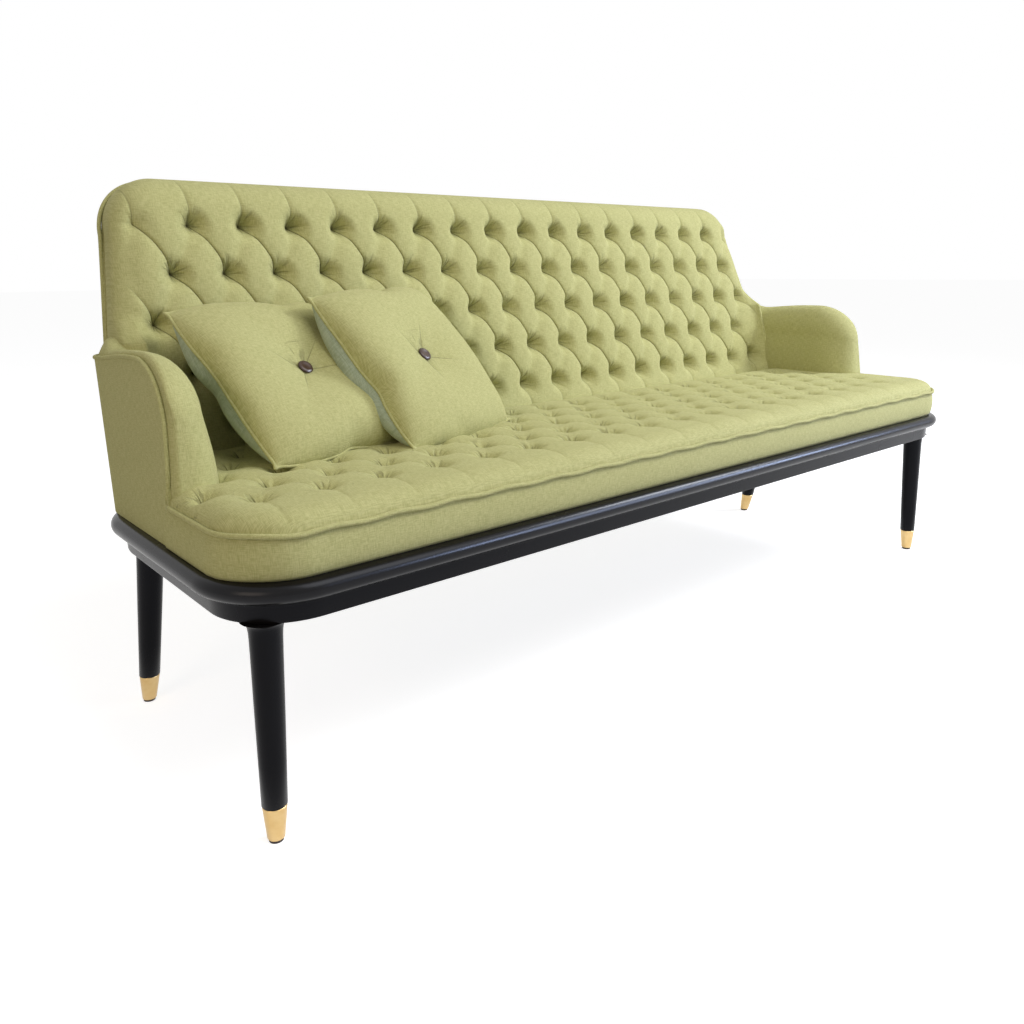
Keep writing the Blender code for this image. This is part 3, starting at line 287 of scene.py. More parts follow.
def make_piece(bm, name, stands_for, materials=None, body="sofa", cloth=flat_map,
               smooth=None, finer=0):
    """Turn a bmesh into a finished piece.

    cloth turns a point and its face's normal into a place on the cloth. Edges look
    round up to the angle smooth, and finer counts the subdivisions.
    """
    layer = bm.loops.layers.uv.new(CLOTH_MAP)
    bm.normal_update()
    for face in bm.faces:
        for loop in face.loops:
            loop[layer].uv = cloth(loop.vert.co, face.normal)
    mesh = new_mesh(bm, name)
    for material in materials or [linen]:
        mesh.materials.append(material)
    mesh.shade_smooth()
    if smooth:
        mesh.set_sharp_from_angle(angle=math.radians(smooth))
    piece = add_object(name, mesh)
    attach(piece, body)
    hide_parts(*stands_for)
    if finer:
        subdivided = piece.modifiers.new("smooth", "SUBSURF")
        subdivided.levels = subdivided.render_levels = finer
    print(name, len(mesh.vertices), "vertices")


print("pieces carry their cloth map as", CLOTH_MAP)

# %% [markdown]
# ## Black lacquer
# The base and legs are beech sprayed with a satin black lacquer. The film is a
# smooth skin with a faint orange peel, so it shows soft, wide highlights, slightly
# blue where it reflects the cool studio light. The half-round moulding, which hands
# and sleeves rub, is a little glossier. Brass, rubber, timber, steel, lining and
# horn follow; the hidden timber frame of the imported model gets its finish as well.

# %% Lacquer, brass, rubber, timber, steel, lining and horn
APRON_TOP = 0.350


def make_lacquer():
    """Black lacquer, with the half-round nose above the apron rubbed to a higher polish."""
    material, shader = new_material("satin_black_lacquer")
    place = add_node(material, "TexCoord", output="Object")
    peel = add_node(material, "TexNoise", Vector=place, Scale=220.0, Detail=2.0)
    cloud = add_node(material, "TexNoise", Vector=place, Scale=9.0, Detail=4.0)
    height = add_node(material, "SeparateXYZ", output="Z", Vector=place)
    low, high = APRON_TOP + 0.0015, APRON_TOP + 0.0035
    feed(
        material, shader, Coat_Roughness=0.26, Coat_IOR=1.55, Specular_IOR_Level=0.10, Specular_Tint=linear("#DCE6FA"),
        Base_Color=add_node(material, "Mix", COLOURS, 2, Factor=cloud, _6=linear("#0D0B0A"), _7=linear("#141211")),
        Roughness=add_node(material, "MapRange", Value=cloud, To_Min=0.22, To_Max=0.30),
        Normal=add_node(material, "Bump", Strength=0.08, Distance=0.0004, Height=peel),
        Coat_Weight=add_node(material, "MapRange", Value=height, From_Min=low, From_Max=high, To_Max=0.16),
    )
    return material


def make_brass():
    """Satin-brushed brass: fine turned lines round the ferrule."""
    material, shader = new_material("satin_brushed_brass")
    place = add_node(material, "TexCoord", output="Object")
    turned = add_node(material, "Mapping", Vector=place, Scale=(8, 8, 1400))
    lines = add_node(material, "TexNoise", Vector=turned, Scale=1.0, Detail=3.0)
    tarnish = add_node(material, "TexNoise", Vector=place, Scale=60.0, Detail=4.0)
    feed(
        material, shader, Metallic=1.0,
        Base_Color=add_node(material, "Mix", COLOURS, 2, Factor=tarnish, _6=linear("#BE9A5E"), _7=linear("#D6BD8C")),
        Roughness=add_node(material, "MapRange", Value=lines, To_Min=0.24, To_Max=0.42),
        Normal=add_node(material, "Bump", Strength=0.12, Distance=0.0002, Height=lines),
    )
    return material


def make_speckled(name, dark, light, scale, roughness, bump_depth=0.0003, metallic=0.0, stretch=(1, 1, 1)):
    """A plain material with a fine grain: moulded rubber, sawn timber, steel or lining cloth."""
    material, shader = new_material(name)
    place = add_node(material, "TexCoord", output="Object")
    moved = add_node(material, "Mapping", Vector=place, Scale=stretch)
    grain = add_node(material, "TexNoise", Vector=moved, Scale=scale, Detail=5.0, Roughness=0.6)
    feed(
        material, shader, Roughness=roughness, Metallic=metallic,
        Base_Color=add_node(material, "Mix", COLOURS, 2, Factor=grain, _6=linear(dark), _7=linear(light)),
        Normal=add_node(material, "Bump", Strength=0.3, Distance=bump_depth, Height=grain),
    )
    return material


lacquer = make_lacquer()
brass = make_brass()
rubber = make_speckled("moulded_dark_rubber", "#1E1410", "#32241C", 400.0, 0.7)
timber = make_speckled("sawn_beech", "#A07A4E", "#C8A678", 6.0, 0.75, 0.0006, stretch=(1, 12, 12))
steel = make_speckled("zinc_plated_steel", "#8C8F92", "#B4B6B8", 90.0, 0.4, metallic=1.0)
lining = make_speckled("black_lining_cloth", "#131313", "#222222", 700.0, 0.9)
horn = make_speckled("polished_brown_horn", "#2A1A12", "#4A3222", 160.0, 0.3)
HIDDEN_FINISHES = {
    "seat_deck": timber, "cross_rail": timber, "back_post": timber, "back_bottom": timber, "back_top": timber,
    "arm_frame": timber, "leg_bolt": steel, "dust_cover": lining,
}
for node_name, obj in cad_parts.items():
    for start, finish in HIDDEN_FINISHES.items():
        if node_name.startswith(start):
            obj.material_slots[0].material = finish
print("hidden frame dressed")

# %% [markdown]
# ## The base
# The base is a rail with a half-round moulding along its upper edge, mitred so well
# at the corners that it reads as one ring with broad round corners. A profile
# carried round the ring makes it: a few points for the section, a spin for each
# corner, and a straight pull for each side.

# %% Base ring
HALF_LENGTH = 0.98
FRONT_Y = -0.375
REAR_Y = 0.210
LEG_HEIGHT = 0.323
RAIL_TOP = 0.381
NOSE_OVERHANG = 0.020
CORNER_RADIUS = 0.110
RAIL_THICKNESS = 0.050
CORNER_STEPS = 20
NOSE_ROUND = 0.0145
NOSE_STEPS = 14
PULL_STEPS = 6


def merged(bm, distance):
    """Join points that lie in one place and turn the faces outwards."""
    bmesh.ops.remove_doubles(bm, verts=bm.verts, dist=distance)
    bmesh.ops.recalc_face_normals(bm, faces=bm.faces)
    return bm


def rail_section():
    """Section of the rail as (distance in from the apron's face, height), from the inside round to the inside."""
    nose_middle = (APRON_TOP + 0.003 + RAIL_TOP) / 2
    nose_half = (RAIL_TOP - APRON_TOP - 0.003) / 2
    points = [(RAIL_THICKNESS, LEG_HEIGHT), (0.004, LEG_HEIGHT), (0.0012, LEG_HEIGHT + 0.0008)]
    points += [(0.0, LEG_HEIGHT + 0.004), (0.0, APRON_TOP - 0.004), (-0.0008, APRON_TOP - 0.0015)]
    points += [(-0.003, APRON_TOP - 0.0002), (-0.0045, APRON_TOP + 0.0006), (-0.0050, APRON_TOP + 0.0024)]
    for step in range(NOSE_STEPS + 1):
        angle = math.radians(-90 + 180 * step / NOSE_STEPS)
        inset = -NOSE_OVERHANG + NOSE_ROUND - NOSE_ROUND * math.cos(angle)
        points.append((inset, nose_middle + nose_half * math.sin(angle)))
    return points + [(0.002, RAIL_TOP), (RAIL_THICKNESS, RAIL_TOP)]


def build_base():
    bm = bmesh.new()
    front, rear = FRONT_Y + NOSE_OVERHANG, REAR_Y - NOSE_OVERHANG
    straight = HALF_LENGTH - NOSE_OVERHANG - CORNER_RADIUS
    depth = rear - front - 2 * CORNER_RADIUS
    start = Vector((straight, front, 0))
    row = [bm.verts.new(start + Vector((0, inset, height))) for inset, height in rail_section()]
    loop = [bm.edges.new(pair) for pair in zip(row, row[1:] + row[:1])]
    corners = (
        (straight, front + CORNER_RADIUS, Vector((0, depth, 0))),
        (straight, rear - CORNER_RADIUS, Vector((-2 * straight, 0, 0))),
        (-straight, rear - CORNER_RADIUS, Vector((0, -depth, 0))),
        (-straight, front + CORNER_RADIUS, Vector((2 * straight, 0, 0))),
    )
    for centre_x, centre_y, run in corners:
        turned = bmesh.ops.spin(
            bm, geom=loop, cent=(centre_x, centre_y, 0), axis=(0, 0, 1), angle=math.radians(90), steps=CORNER_STEPS,
        )
        loop = [item for item in turned["geom_last"] if isinstance(item, bmesh.types.BMEdge)]
        for _ in range(PULL_STEPS):
            pulled = bmesh.ops.extrude_edge_only(bm, edges=loop)["geom"]
            fresh = [item for item in pulled if isinstance(item, bmesh.types.BMVert)]
            bmesh.ops.translate(bm, vec=run / PULL_STEPS, verts=fresh)
            edges = [item for item in pulled if isinstance(item, bmesh.types.BMEdge)]
            loop = [edge for edge in edges if all(vert in fresh for vert in edge.verts)]
    return merged(bm, 0.00005)


rails = [f"{side}_rail" for side in ("front", "rear", "left", "right")]
places = [f"{end}_{side}" for end in ("front", "rear") for side in ("left", "right")]
blocks = [f"corner_block_{place}" for place in places]
make_piece(build_base(), "base_moulding", rails + blocks, [lacquer], smooth=40)

# %% [markdown]
# ## Legs and feet
# The legs are turned on a lathe: a long taper with a small flare under the rail, and
# a brass ferrule driven over a stepped end. Each splays a little outwards. A
# half-section spun round the axis is the same thing as turning, and sliding each
# height along the splay leans the leg without changing its level end faces.

# %% Legs, ferrules and glides
LEG_TOP = {"front": (0.911, -0.306), "rear": (0.911, 0.141)}
LEG_FOOT = {"front": (0.931, -0.317), "rear": (0.931, 0.209)}
TURNED_STEPS = 48


def lathe(profile, steps):
    """A half-section of (radius, height) spun round the upright axis."""
    bm = bmesh.new()
    verts = [bm.verts.new((radius, 0, height)) for radius, height in profile]
    edges = [bm.edges.new(pair) for pair in zip(verts, verts[1:])]
    bmesh.ops.spin(
        bm, geom=verts + edges, cent=(0, 0, 0), axis=(0, 0, 1), angle=math.tau, steps=steps, use_merge=True,
    )
    bmesh.ops.remove_doubles(bm, verts=bm.verts, dist=0.00002)
    return bm


def turned_piece(profile, place):
    """A turned part of a leg, leaning along it."""
    end, side = place.split("_")
    sign = -1 if side == "left" else 1
    top, foot = Vector(LEG_TOP[end]), Vector(LEG_FOOT[end])
    bm = lathe(profile, TURNED_STEPS)
    for vert in bm.verts:
        middle = foot.lerp(top, vert.co.z / LEG_HEIGHT)
        vert.co.x += sign * middle.x
        vert.co.y += middle.y
    bmesh.ops.recalc_face_normals(bm, faces=bm.faces)
    return bm


leg_profile = [
    (0.0, 0.0062), (0.0112, 0.0062), (0.0160, 0.0540), (0.0168, 0.0549), (0.0178, 0.0562),
    (0.0190, 0.120), (0.0205, 0.200), (0.0216, 0.275), (0.0221, 0.298), (0.0226, 0.306),
    (0.0236, 0.3125), (0.0253, 0.3175), (0.0279, 0.3208), (0.0312, 0.3225), (0.0330, 0.3228), (0.0, 0.3228),
]
ferrule_profile = [
    (0.0, 0.0048), (0.0108, 0.0048), (0.0118, 0.0052), (0.0123, 0.0062), (0.0150, 0.0320),
    (0.0171, 0.0530), (0.0171, 0.0540), (0.0167, 0.0545), (0.0160, 0.0542), (0.0112, 0.0058), (0.0, 0.0058),
]
glide_profile = [(0.0, 0.0), (0.0092, 0.0), (0.0102, 0.0006), (0.0105, 0.0016), (0.0105, 0.0045), (0.0, 0.0045)]
TURNED_PARTS = (
    ("turned_leg", leg_profile, lacquer, "black_lacquer", "leg", 40),
    ("brass_ferrule", ferrule_profile, brass, "brass", "ferrule", 35),
    ("foot_glide", glide_profile, rubber, "glide", "glide", 35),
)
for place in places:
    for name, profile, finish, slot, solid, angle in TURNED_PARTS:
        turned = turned_piece(profile, place)
        make_piece(turned, f"{name}_{place}", [f"{solid}_{place}"], [finish], smooth=angle)

# %% [markdown]
# ## How tufting folds
# Deep tufting pulls the cover down at a diamond grid of points. Between four pits
# the padding swells to a puff, and the spare cloth is folded into pleats along the
# diamonds' sides. The folds that run down to the right are real overlaps: the puff
# above hangs over a thin line, which the linen darkens with painted shade. The folds
# the other way are soft valleys. Both back and seat use this one description, as a
# fullness from 0 in a pit to 1 on a puff, worked out for all the points of a fine
# grid at once.

# %% Tufting field
HALF_PITCH = 0.04875
CORNER_STRENGTH = 0.12
STEEP_SIDE = 0.8
GROOVE_WIDE = 0.0022
PLAIN_FULL = 0.93
PUFF_UNEVEN = 0.018
PIT_REACH = (0.0400, 0.0080)
STAR_REACH = 0.042


def smooth_step(low, high, value):
    share = np.clip((value - low) / (high - low), 0, 1)
    return share * share * (3 - 2 * share)


def wobble(first, second, seed):
    """A smooth irregular value from -1 to 1, the same on every run."""
    total = np.sin(first * 1.31 + second * 0.73 + seed) + np.sin(first * 0.57 - second * 1.67 + 2.1 * seed)
    return (total + np.sin(first * 2.23 + second * 2.91 + 3.7 * seed)) / 3


def own_number(first, second, seed):
    """A steady number from 0 to 1 for each pit."""
    value = np.sin(first * 12.9898 + second * 78.233 + seed * 37.719) * 43758.5453
    return value - np.floor(value)


def hump(off, wide, power=2):
    """1 on a line, falling to nothing at a few times wide from it."""
    return np.exp(-(np.abs(off) / wide) ** power)


def cell_width(row_step):
    """Distance between two creases that run side by side."""
    return 2 * HALF_PITCH * row_step / math.hypot(HALF_PITCH, row_step)


def pit_places(across, down, row_count, reach):
    """The nearest pit of each point, in half pitches and rows, and whether it is there."""
    a, b = np.round((across + down - 1) / 2), np.round((across - down - 1) / 2)
    pit_across, pit_down = a + b + 1, a - b
    real = (pit_down >= 0) & (pit_down < row_count) & (np.abs(pit_across) <= reach)
    return pit_across, pit_down, real


def crease_swing(across, down, shape):
    """Each point's share of the way along its crease, and how far the crease bulges off its straight line there."""
    a, b = (across + down - 1) / 2, (across - down - 1) / 2
    along = a - np.floor(a)
    uneven = 1 + 0.30 * wobble(np.floor(a), np.round(b), 1.0)
    return a, b, along, shape["bend"] * np.sin(math.pi * along) * uneven


def gather(across, down, row_step, shape, free):
    """Draw the sheet's points towards the creases, so that the mesh is finest there."""
    a, b, along, swing = crease_swing(across, down, shape)
    cell = cell_width(row_step)
    off = (b - swing - np.round(b - swing)) * cell
    drawn = np.where(np.abs(off) < shape["gather"], off * (off / shape["gather"]) ** 2, off)
    change = (drawn - off) / cell * free
    return across + change, down - change


def pit_wrinkles(off_x, off_y, pit_across, pit_down, shape):
    """Uneven narrow wrinkles that fan out of each pit, most of them on one side."""
    tilt, spread, start = (own_number(pit_across, pit_down, seed) for seed in (9.0, 2.0, 5.0))
    toward = np.arctan2(off_y, off_x)
    angle = toward + 0.35 * np.sin(2 * toward + 6.3 * tilt)
    turn = np.round(8 + 3 * spread) * angle / math.tau + start
    sector = np.round(turn)
    narrow = np.exp(-(((turn - sector) / 0.19) ** 2))
    length = 0.75 + 0.7 * own_number(pit_across + sector, pit_down - 2 * sector, 6.0)
    ring = np.exp(-(((np.hypot(off_x, off_y) - shape["wrinkle_at"]) / (shape["wrinkle_wide"] * length)) ** 2))
    lean = 0.35 + 0.65 * np.clip(np.cos(toward + shape["wrinkle_side"]), 0, 1)
    return shape["wrinkle"] * narrow * ring * lean


def tuft_fullness(across, down, row_count, reach, row_step, shape):
    """Fullness of the padding, each puff's overhang, and what the linen paints shade into creases and pits from.

    across counts half pitches and down counts rows; pits are where their sum is odd
    and the row is from 0 to row_count - 1. shape holds how deep and sharp the folds are.
    """
    a, b, along, swing = crease_swing(across, down, shape)
    swung = b - swing
    cell = cell_width(row_step)
    to_crease = (swung - np.round(swung)) * cell
    to_valley = (a - np.round(a)) * cell
    pit_across, pit_down, real = pit_places(across, down, row_count, reach)
    off_x, off_y = (across - pit_across) * HALF_PITCH, (down - pit_down) * row_step
    distance = np.hypot(off_x, off_y)
    strength = np.where(real, 0.80 + 0.40 * own_number(pit_across, pit_down, 3.0), 0.0)
    corner = shape["corner_tuft"] & (np.abs(pit_across) == reach) & (pit_down == 0)
    strength = np.where(corner, CORNER_STRENGTH, strength)

    # past the first or last row the diamonds give way to straight pleats, and past the last column to plain cloth
    past = np.maximum(-down, down - (row_count - 1))
    share = smooth_step(-0.06, 0.34, past)
    out = smooth_step(reach + 0.05, reach + 0.9, np.abs(across))

    middle_of_crease = np.sin(math.pi * along)
    sharp = 1 - (1 - shape["sharp_middle"]) * middle_of_crease
    soft_side = np.where(to_crease > 0, shape["crease_wide"], shape["crease_wide"] * STEEP_SIDE)
    crease = shape["crease"] * hump(to_crease, soft_side, 1.25)
    groove = shape["groove"] * sharp * hump(to_crease, GROOVE_WIDE)
    lattice = 1 - crease - groove - shape["valley"] * hump(to_valley, shape["valley_wide"], 1.7)

    side = across - 2 * np.round((across - 1) / 2) - 1
    run = np.clip(np.where(down < 0, -down, down - row_count + 1), 0, 1.2)
    curved = side + shape["pleat_bend"] * run ** 2
    fade = np.exp(-np.clip(past, 0, None) / 1.1)
    pleat_off = curved * HALF_PITCH
    pleat = shape["pleat"] * (0.30 + 0.70 * fade) * hump(pleat_off, shape["crease_wide"] * STEEP_SIDE, 1.2)
    pleat = 1 - pleat - 0.6 * shape["groove"] * hump(pleat_off, GROOVE_WIDE)
    full = lattice * (1 - share) + pleat * share
    full = full * (1 - out) + PLAIN_FULL * out

    if shape["corner_tuft"]:
        row_line = (down + 0.06 * (np.abs(across) - reach)) * row_step
        reach_out = smooth_step(reach - 0.2, reach + 0.2, np.abs(across))
        full = full - reach_out * (0.05 * hump(row_line, 0.012, 1.3) + 0.04 * hump(row_line, GROOVE_WIDE))

    near = smooth_step(*PIT_REACH, distance)
    full = full * (1 - shape["pit"] * strength * (near * hump(distance, shape["pit_wide"], 0.95)))
    full = full - pit_wrinkles(off_x, off_y, pit_across, pit_down, shape) * strength * near
    full = full + PUFF_UNEVEN * wobble(across * 0.9, down * 1.1, 4.0)

    hang = shape["hang"] * hump(to_crease - 0.004, 0.004) * (to_crease > 0) * (1 - share) * (1 - out)
    in_lattice = smooth_step(0.04, -0.04, past)
    past_lattice = 1 - in_lattice
    line_sharp = sharp * in_lattice * (1 - out) + 0.55 * fade * past_lattice * (1 - out) * (past < 1.2)
    angles = math.tau * (swung - np.round(swung)), math.pi * curved
    sine, cosine = (turn(angles[0]) * in_lattice + turn(angles[1]) * past_lattice for turn in (np.sin, np.cos))
    # The third value is the strength of the painted shade along the crease.
    painted_crease_shade = np.stack([sine, cosine, np.clip(line_sharp * shape["dark"], 0, 1)], axis=1)
    if shape["strokes"]:
        # instead of the creases, a short straight tuck lies behind each pit, with a line of painted shade along it
        stroke = hump(off_y + 0.012, 0.017) * (strength > 0.5)
        full = full - 0.10 * hump(off_x, 0.0036) * stroke
        turn = np.clip(off_x / 0.0136, -3.1, 3.1)
        painted_crease_shade = np.stack([np.sin(turn), np.cos(turn), shape["dark"] * stroke], axis=1)
    drawn = real & (distance < STAR_REACH) & (strength > 0.5)
    code = np.where(drawn, 0.5 + own_number(pit_across, pit_down, 7.0), 0.0)
    return np.clip(full, 0.0, 1.10), hang * middle_of_crease, painted_crease_shade, np.stack([off_x, off_y, code], axis=1)


print("pits lie", 2 * HALF_PITCH, "m apart along a row")

# %% [markdown]
# ## A sheet of cloth
# Both tufted covers start as a flat grid, like the cloth before it is buttoned
# down. The grid is finer than the folds, its points are moved onto the padding all
# at once, and its open rim is then pulled round the edge in a few turns, as an
# upholsterer pulls the cover to the back of the frame.

# %% Grid helpers


def grid_sheet(columns, rows):
    """A grid with the given column and row values, and each vertex's two values."""
    bm = bmesh.new()
    across, along = len(columns) - 1, len(rows) - 1
    bmesh.ops.create_grid(bm, x_segments=across, y_segments=along, size=1.0)
    flat = np.array([vert.co[:2] for vert in bm.verts])
    column = np.rint((flat[:, 0] + 1) * across / 2).astype(int)
    row = np.rint((flat[:, 1] + 1) * along / 2).astype(int)
    return bm, np.asarray(columns)[column], np.asarray(rows)[row]


def move_all(bm, points):
    for vert, point in zip(bm.verts, points):
        vert.co = point


def keep_folds(bm, painted_crease_shade, pit):
    """Remember for each point where it lies between two creases and round a pit, for the linen to paint shade along
    the creases and round the pits and to bump the pits' wrinkles.
    """
    for name, values in ((CREASE_SHADE_LAYER, painted_crease_shade), (PIT_LAYER, pit)):
        layer = bm.verts.layers.float_vector.new(name)
        for vert, value in zip(bm.verts, values):
            vert[layer] = Vector(value)


def finer_at_ends(low, high, spacing, end_spacing, end_run):
    """Values from low to high, with a closer spacing over the runs at both ends."""
    inner = np.linspace(low + end_run, high - end_run, int((high - low - 2 * end_run) / spacing) + 1)
    count = int(end_run / end_spacing)
    start = np.linspace(low, low + end_run, count, endpoint=False)
    finish = np.linspace(high - end_run, high, count + 1)[1:]
    return np.concatenate([start, inner, finish])


def grow_rim(bm, place):
    """Extrude the open rim once and put each new point where place says."""
    rim = [edge for edge in bm.edges if edge.is_boundary]
    for item in bmesh.ops.extrude_edge_only(bm, edges=rim)["geom"]:
        if isinstance(item, bmesh.types.BMVert):
            item.co = place(item.co)


def shut(bm, *loops):
    """Close the given loops, or else the open rim, with flat faces and turn the faces outwards."""
    for loop in loops or [[edge for edge in bm.edges if edge.is_boundary]]:
        bmesh.ops.contextual_create(bm, geom=loop)
    bmesh.ops.recalc_face_normals(bm, faces=bm.faces)
    return bm


def inside_corner(past_x, past_y, radius):
    """Distance in from the edge of a sheet, from the places past its corner's two straight lines."""
    past_both = np.hypot(np.maximum(past_x, 0), np.maximum(past_y, 0))
    return np.clip(radius - past_both - np.minimum(np.maximum(past_x, past_y), 0), 0, None)


def quarter_round(inside, wide):
    """A quarter round over the edge: 0 at the edge, 1 from wide inwards."""
    return np.sqrt(1 - (1 - np.clip(inside / wide, 0, 1)) ** 2)


GRID_SPACING = 0.0021
EDGE_SPACING = 0.0022
print("points on a sheet lie", GRID_SPACING, "m apart")

# %% [markdown]
# ## The tufted back
# The back leans and is padded about 55 mm thick over its frame, with five rows of
# tufts. Above the top row and below the bottom row the folds run straight up and
# down. Near its ends it is plain, it rolls over its top and sides to the piping
# behind, and below arm height it curves forward into the arms without a seam.

# %% Back sheet
BACK_FOOT_Y = 0.1875
BACK_RAKE = 0.3498
BACK_TOP = 0.915
BACK_HALF = 0.900
BACK_CORNER = 0.095
BACK_SIDE_LEAN = 0.200
ARM_HEIGHT = 0.645
PAD_REAR = 0.0306
BACK_EDGE_LAYER = 0.040
BACK_SIDE_ROLL = 0.085
BACK_TOP_ROW_Z = 0.835
BACK_ROW_STEP = 0.0835
BACK_SLOPE = math.hypot(1, BACK_RAKE)
# dark sets how strong the painted shade along the creases is.
BACK_SHAPE = dict(
    bend=0.068, gather=0.006, crease=0.145, crease_wide=0.015, groove=0.05, sharp_middle=0.8, valley=0.14,
    valley_wide=0.015, pleat=0.12, pleat_bend=0.14, pit=0.78, pit_wide=0.0175, wrinkle=0.050, wrinkle_at=0.016,
    wrinkle_wide=0.013, wrinkle_side=0.9, hang=0.0016, dark=0.85, corner_tuft=True, strokes=False,
)
BACK_PIT_LAYER = 0.003
BACK_PUFF_LAYER = 0.0575
BACK_ROWS, BACK_REACH = 5, 17
BACK_TOP_ROLL = 0.045
CREASES_END_X, CREASES_TOP_Z, CREASES_FOOT_Z = (18.0, 17.0), (0.865, 0.845), (0.47, 0.50)
INTO_ARM_TOP, INTO_ARM_TALL = 0.692, 0.047
INTO_ARM_X, INTO_ARM_WIDE, INTO_ARM_DEPTH = 0.80, 0.068, 0.052
BACK_RIM = ((0.030, 0.0002), (0.020, 0.0004), (0.012, 0.0006), (0.0075, 0.0012), (0.0055, 0.0040))


def back_y(height, layer=0.0):
    """Depth place of the raked back at a height, a layer in front of its rear face."""
    return BACK_FOOT_Y + BACK_RAKE * (height - RAIL_TOP) - layer


def back_half(height):
    return BACK_HALF - BACK_SIDE_LEAN * np.maximum(0.0, height - ARM_HEIGHT)


def back_face(s, t, top):
    """Place (x, height) on the back for a share across, -1 to 1, and a share up to its rounded top edge."""
    corner_z = top - BACK_CORNER
    wide = back_half(corner_z)
    over = np.clip(np.abs(s) * wide - (wide - BACK_CORNER), 0, BACK_CORNER)
    z = RAIL_TOP + 0.0003 + t * (corner_z + np.sqrt(BACK_CORNER ** 2 - over ** 2) - RAIL_TOP - 0.0003)
    return s * back_half(np.minimum(z, corner_z)), z


def build_back():
    spread = BACK_TOP - RAIL_TOP
    columns = finer_at_ends(-1, 1, GRID_SPACING / BACK_HALF, EDGE_SPACING / BACK_HALF, 0.03 / BACK_HALF)
    rows = finer_at_ends(0, 1, GRID_SPACING / spread / BACK_SLOPE, EDGE_SPACING / spread, 0.03 / spread)
    bm, s, t = grid_sheet(columns, rows)
    x, z = back_face(s, t, BACK_TOP)
    row_step = BACK_ROW_STEP * BACK_SLOPE
    free = (smooth_step(*CREASES_END_X, np.abs(x) / HALF_PITCH) * smooth_step(*CREASES_TOP_Z, z)
            * smooth_step(*CREASES_FOOT_Z, z))
    across, down = gather(x / HALF_PITCH, (BACK_TOP_ROW_Z - z) / BACK_ROW_STEP, row_step, BACK_SHAPE, free)
    x, z = across * HALF_PITCH, BACK_TOP_ROW_Z - down * BACK_ROW_STEP
    full, hang, painted_crease_shade, pit = tuft_fullness(across, down, BACK_ROWS, BACK_REACH, row_step, BACK_SHAPE)
    depth = PAD_REAR + BACK_PIT_LAYER + (BACK_PUFF_LAYER - BACK_PIT_LAYER) * full

    # the padding thins out over the top and the sides
    corner_z = BACK_TOP - BACK_CORNER
    half = back_half(np.minimum(z, corner_z))
    inside = inside_corner(np.abs(x) - (half - BACK_CORNER), z - corner_z, BACK_CORNER)
    roll = np.minimum(quarter_round(inside, BACK_TOP_ROLL), quarter_round(half - np.abs(x), BACK_SIDE_ROLL))
    layer = BACK_EDGE_LAYER + (depth - BACK_EDGE_LAYER) * roll

    # below arm height the ends come forward into the arms
    low_end = np.clip((INTO_ARM_TOP - z) / INTO_ARM_TALL, 0, 1) ** 1.6
    into_arm = np.clip((np.abs(x) - INTO_ARM_X) / INTO_ARM_WIDE, 0, 1)
    layer = layer + low_end * (INTO_ARM_DEPTH * (1 - np.sqrt(1 - 0.96 * into_arm ** 2)))

    x, z = x - hang * 0.55, z - hang * 0.85
    move_all(bm, np.stack([x, back_y(z, layer), z], axis=1))
    keep_folds(bm, painted_crease_shade, pit)

    middle_z = (RAIL_TOP + BACK_TOP) / 2
    for layer_at, inset in BACK_RIM:
        def behind(point):
            height = middle_z + (point.z - middle_z) * (1 - inset / (spread / 2))
            return Vector((point.x * (1 - inset / BACK_HALF), back_y(height, layer_at), height))
        grow_rim(bm, behind)
    return shut(bm)


def back_cloth(point, normal):
    return point.x, point.z * BACK_SLOPE


make_piece(build_back(), "tufted_back", ["back_pad"], cloth=back_cloth)

# %% [markdown]
# ## The tufted seat
# The seat is one pad for all three places, full width in front of the arms and
# narrower between them. Its tufts are shallower and closer from front to back, and
# a plain band, the boxing, runs round under its piping.

# %% Seat sheet
SEAT_HALF = 0.9525
SEAT_FRONT_Y = -0.3525
SEAT_EDGE_Z = 0.441
SEAT_CORNER = 0.094
SEAT_FIRST_ROW_Y = -0.245
SEAT_ROW_STEP = 0.0705
ARM_INNER_X = 0.870
ARM_FRONT_Y = -0.1257
# dark sets how strong the painted shade along the tucks is.
SEAT_SHAPE = dict(
    bend=0.10, gather=0.005, crease=0.15, crease_wide=0.018, groove=0.05, sharp_middle=0.10, valley=0.10,
    valley_wide=0.018, pleat=0.14, pleat_bend=0.10, pit=0.92, pit_wide=0.0125, wrinkle=0.120, wrinkle_at=0.015,
    wrinkle_wide=0.012, wrinkle_side=1.5, hang=0.0016, dark=0.80, corner_tuft=False, strokes=True,
)
SEAT_PIT_RISE = 0.004
SEAT_PUFF_RISE = 0.028
SEAT_ROWS, SEAT_REACH = 5, 18
SEAT_ROLL = 0.040
BOXING = (
    (0.4395, 0.0006), (0.435, 0.0014), (0.428, 0.0014), (0.418, 0.0012), (0.405, 0.0004), (0.394, -0.0006),
    (0.386, -0.0014), (0.3815, -0.0024),
)


